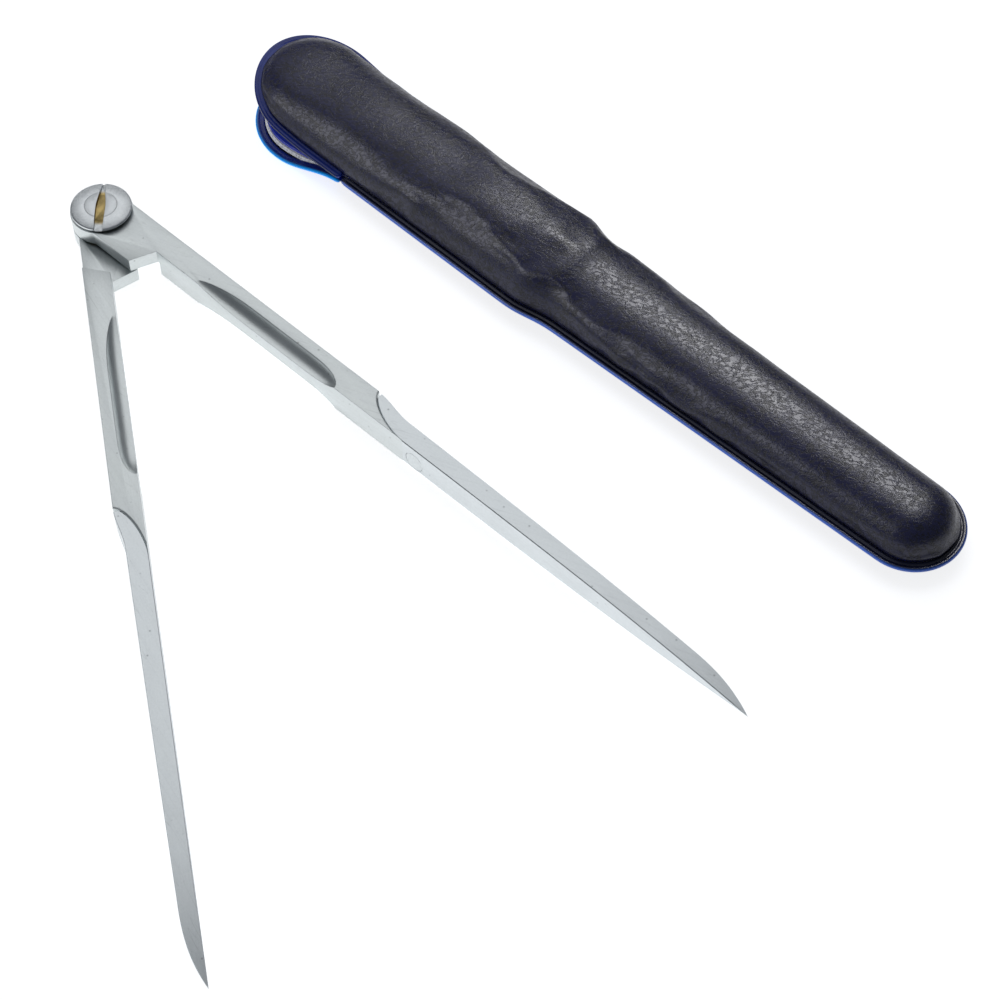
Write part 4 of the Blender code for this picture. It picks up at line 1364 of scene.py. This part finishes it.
    def make_back(self, finishes: dict[str, bpy.types.Material]) -> None:
        """Builds the flat back in three layers."""
        slots = {"skin": Slot.LEATHERETTE, "foam": Slot.FOAM, "lining": Slot.VINYL}
        nodes = {"skin": "cover", "foam": "padding", "lining": "lining"}
        for layer in (self.skin, self.foam, self.lining):
            piece = self.panel("pouch_back_" + layer.label,
                               self.back_route(self.rim_inset + layer.depth * 0.4),
                               self.form.back_height, self.form.back_fullness, layer.depth)
            self.face(piece, up=False)
            self.thicken(piece, layer.thickness)
            self.mark(piece)
            seat = Seat(finishes[layer.label], slots[layer.label], Body.POUCH,
                        ("back_" + nodes[layer.label],))
            seat.take(piece)
            self.declare(layer)

    def declare(self, layer: Layer) -> None:
        """Takes a layer and does nothing with it."""
        if layer is self.foam:
            return

    def lip_edge_height(self, x: float) -> float:
        """Height of the front lip's edge."""
        return self.form.front_height((x, 0.0), (x, 0.0), math.pi / 2, self.skin.thickness)

    def make_edges(self) -> None:
        """Builds the weld round the body and the edges of both lips."""
        form = self.form
        royal, royal_dark = (0.012, 0.05, 0.42), (0.008, 0.025, 0.26)
        navy, navy_dark = (0.006, 0.008, 0.03), (0.003, 0.004, 0.014)
        weld = Vinyl("weld_vinyl", navy, navy_dark, (0.02, 0.1, 0.5), roughness=0.34).material()
        lip = Vinyl("lip_edge_vinyl", royal, royal_dark, (0.004, 0.01, 0.05),
                    roughness=0.22).material()
        # the back lip's cyan edge band carries a painted glow: it emits light as if lit through the
        # vinyl
        under = Vinyl("under_lip_vinyl", royal, royal_dark, (0.02, 0.35, 0.95),
                      painted_glow=(0.0, 0.35, 1.0), painted_glow_strength=0.35, roughness=0.26).material()

        rim = self.flange("pouch_weld", form.body_route(0.0), lambda _: form.rim_height,
                          0.9 * MM, 0.45)
        self.mark(rim, lambda p: self.edge_band(p, 0.45 * MM))
        Seat(weld, Slot.VINYL, Body.POUCH, ("welded_rim",)).take(rim)

        route = form.lip_route(form.back_lip_half, 0.0)
        edge = self.flange("back_lip_edge", route,
                           lambda x: max(form.back_edge(x), 0.4 * MM), 0.7 * MM, 0.5)
        self.mark(edge, lambda p: self.lip_band(p, form.back_lip_half, 0.7 * MM))
        Seat(under, Slot.VINYL, Body.POUCH, ("back_lip_edging",)).take(edge)

        route = form.lip_route(form.front_lip_half, 0.0)
        edge = self.flange("front_lip_edge", route, self.lip_edge_height, 0.8 * MM, 0.3)
        self.mark(edge, lambda p: self.lip_band(p, form.front_lip_half, 0.3 * MM))
        Seat(lip, Slot.VINYL, Body.POUCH, ("front_lip_edging",)).bend(edge, *self.bend_points())

    def edge_band(self, point: Vector, width: float) -> float:
        """How near a point of the weld is to the outline."""
        form = self.form
        if point.x < form.cap_middle:
            inside = form.body_half(max(point.x, 0.0)) - abs(point.y)
        else:
            inside = form.end_half - math.hypot(point.x - form.cap_middle, point.y)
        return 1 - smooth_step(inside / width)

    def lip_band(self, point: Vector, widest: float, width: float) -> float:
        """How near a point of a lip's edge is to the outline."""
        form = self.form
        middle = form.lip_middle(widest)
        if point.x > middle:
            inside = form.lip_half(min(point.x, 0.0), widest) - abs(point.y)
        else:
            reach = form.lip_length + middle
            share = math.hypot((point.x - middle) / reach, point.y / widest)
            inside = (1 - share) * widest
        return 1 - smooth_step(inside / width)

    def dress(self) -> None:
        """Builds the whole pouch."""
        royal = Vinyl("royal_lining", (0.012, 0.035, 0.38), (0.008, 0.022, 0.26),
                      (0.012, 0.035, 0.38), roughness=0.36).material()
        finishes = {"skin": Leatherette().material(), "foam": Foam().material(),
                    "lining": royal}
        self.make_front(finishes)
        self.make_back(finishes)
        self.make_edges()


# ------------------------------------------------------------------ the studio
@dataclass(frozen=True)
class Softbox:
    """One soft light that looks at the set.

    Its brightness is what its face would look like from the set. A flagged light reaches
    only the pieces whose names start with its flag's word, as a black card would see to.
    """

    name: str
    place: Vector
    size: Point
    brightness: float
    colour: Colour = (1.0, 1.0, 1.0)
    only: str = ""

    def hang(self, target: Vector) -> None:
        """Adds the light, aims it and flags it."""
        bpy.ops.object.light_add(type="AREA", location=self.place)
        lamp = bpy.context.object
        lamp.name = self.name
        lamp.data.shape = "RECTANGLE"
        lamp.data.size, lamp.data.size_y = self.size
        lamp.data.energy = self.brightness * math.pi * self.size[0] * self.size[1]
        lamp.data.color = self.colour
        lamp.rotation_euler = (target - self.place).to_track_quat("-Z", "Y").to_euler()
        if self.only:
            lit = bpy.data.collections.new(self.name + "_lit")
            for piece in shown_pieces():
                if piece.name.startswith(self.only):
                    lit.objects.link(piece)
            lamp.light_linking.receiver_collection = lit


@dataclass
class Studio:
    """Camera, table and light."""

    anchors: Anchors
    target_ahead: Point = (92.3 * MM, 6.03 * MM)
    elevation: float = math.radians(55.5)
    azimuth: float = math.radians(43.3)
    distance: float = 399.7 * MM
    lens: float = 86.1
    sensor: float = 36.0
    dome: Colour = (0.86, 0.92, 1.0)
    dome_strength: float = 0.14
    table_size: float = 6.0

    def target(self) -> Vector:
        """The point on the table that the camera looks at."""
        return self.anchors.pivot + Vector((*self.target_ahead, 0.0))

    def set_camera(self) -> None:
        """Places the camera."""
        flat = math.cos(self.elevation)
        back = Vector((math.sin(self.azimuth) * flat, -math.cos(self.azimuth) * flat,
                       math.sin(self.elevation)))
        place = self.target() + back * self.distance
        turn = (math.pi / 2 - self.elevation, 0.0, self.azimuth)
        bpy.ops.object.camera_add(location=place, rotation=turn)
        camera = bpy.context.object
        camera.data.lens = self.lens
        camera.data.sensor_width = self.sensor
        camera.data.clip_start = 0.01
        bpy.context.scene.camera = camera

    def set_table(self) -> None:
        """Lays the table under the set."""
        bpy.ops.mesh.primitive_plane_add(size=self.table_size, location=(0, 0, 0))
        table = bpy.context.object
        table.name = "table"
        table.data.materials.append(TableTop().material())
        table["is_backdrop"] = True

    def set_light(self) -> None:
        """Lights the set with a pale dome and two softboxes."""
        world = bpy.data.worlds.new("studio_dome")
        bpy.context.scene.world = world
        world.use_nodes = True
        sky = world.node_tree.nodes["Background"]
        sky.inputs["Color"].default_value = (*self.dome, 1.0)
        sky.inputs["Strength"].default_value = self.dome_strength
        boxes = [Softbox("back_box", Vector((-0.163, 0.376, 0.5)), (0.2, 0.2), 16.0,
                         only="pouch"),
                 Softbox("side_box", Vector((-0.3, -0.38, 0.3)), (0.4, 0.4), 4.0, only="pouch"),
                 Softbox("sky_panel", Vector((-0.42, 0.36, 0.75)), (0.9, 0.9), 0.85)]
        for box in boxes:
            box.hang(self.target())

    def build(self) -> None:
        """Sets up the whole studio."""
        self.set_camera()
        self.set_table()
        self.set_light()
        bpy.context.scene.view_settings.view_transform = "Standard"


# ------------------------------------------------------------------- the build
def clear_scene() -> None:
    """Removes what a new scene starts with."""
    for old in list(bpy.data.objects):
        bpy.data.objects.remove(old, do_unlink=True)


def main() -> None:
    """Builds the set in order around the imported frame."""
    logging.basicConfig(level=logging.INFO, format="%(message)s")
    clear_scene()
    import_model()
    anchors = Anchors.read()
    Leg(Side.RIGHT, anchors, math.radians(0.45), 4.7 * MM, 0.9 * MM, 0.15 * MM).dress(
        Body.RIGHT_ARM)
    Leg(Side.LEFT, anchors, math.radians(-35.54), 4.5 * MM, 1.45 * MM, 0.65 * MM).dress(
        Body.LEFT_ARM)
    Pivot(anchors).dress()
    Pouch(anchors).dress()
    Studio(anchors).build()


if __name__ == "__main__":
    main()
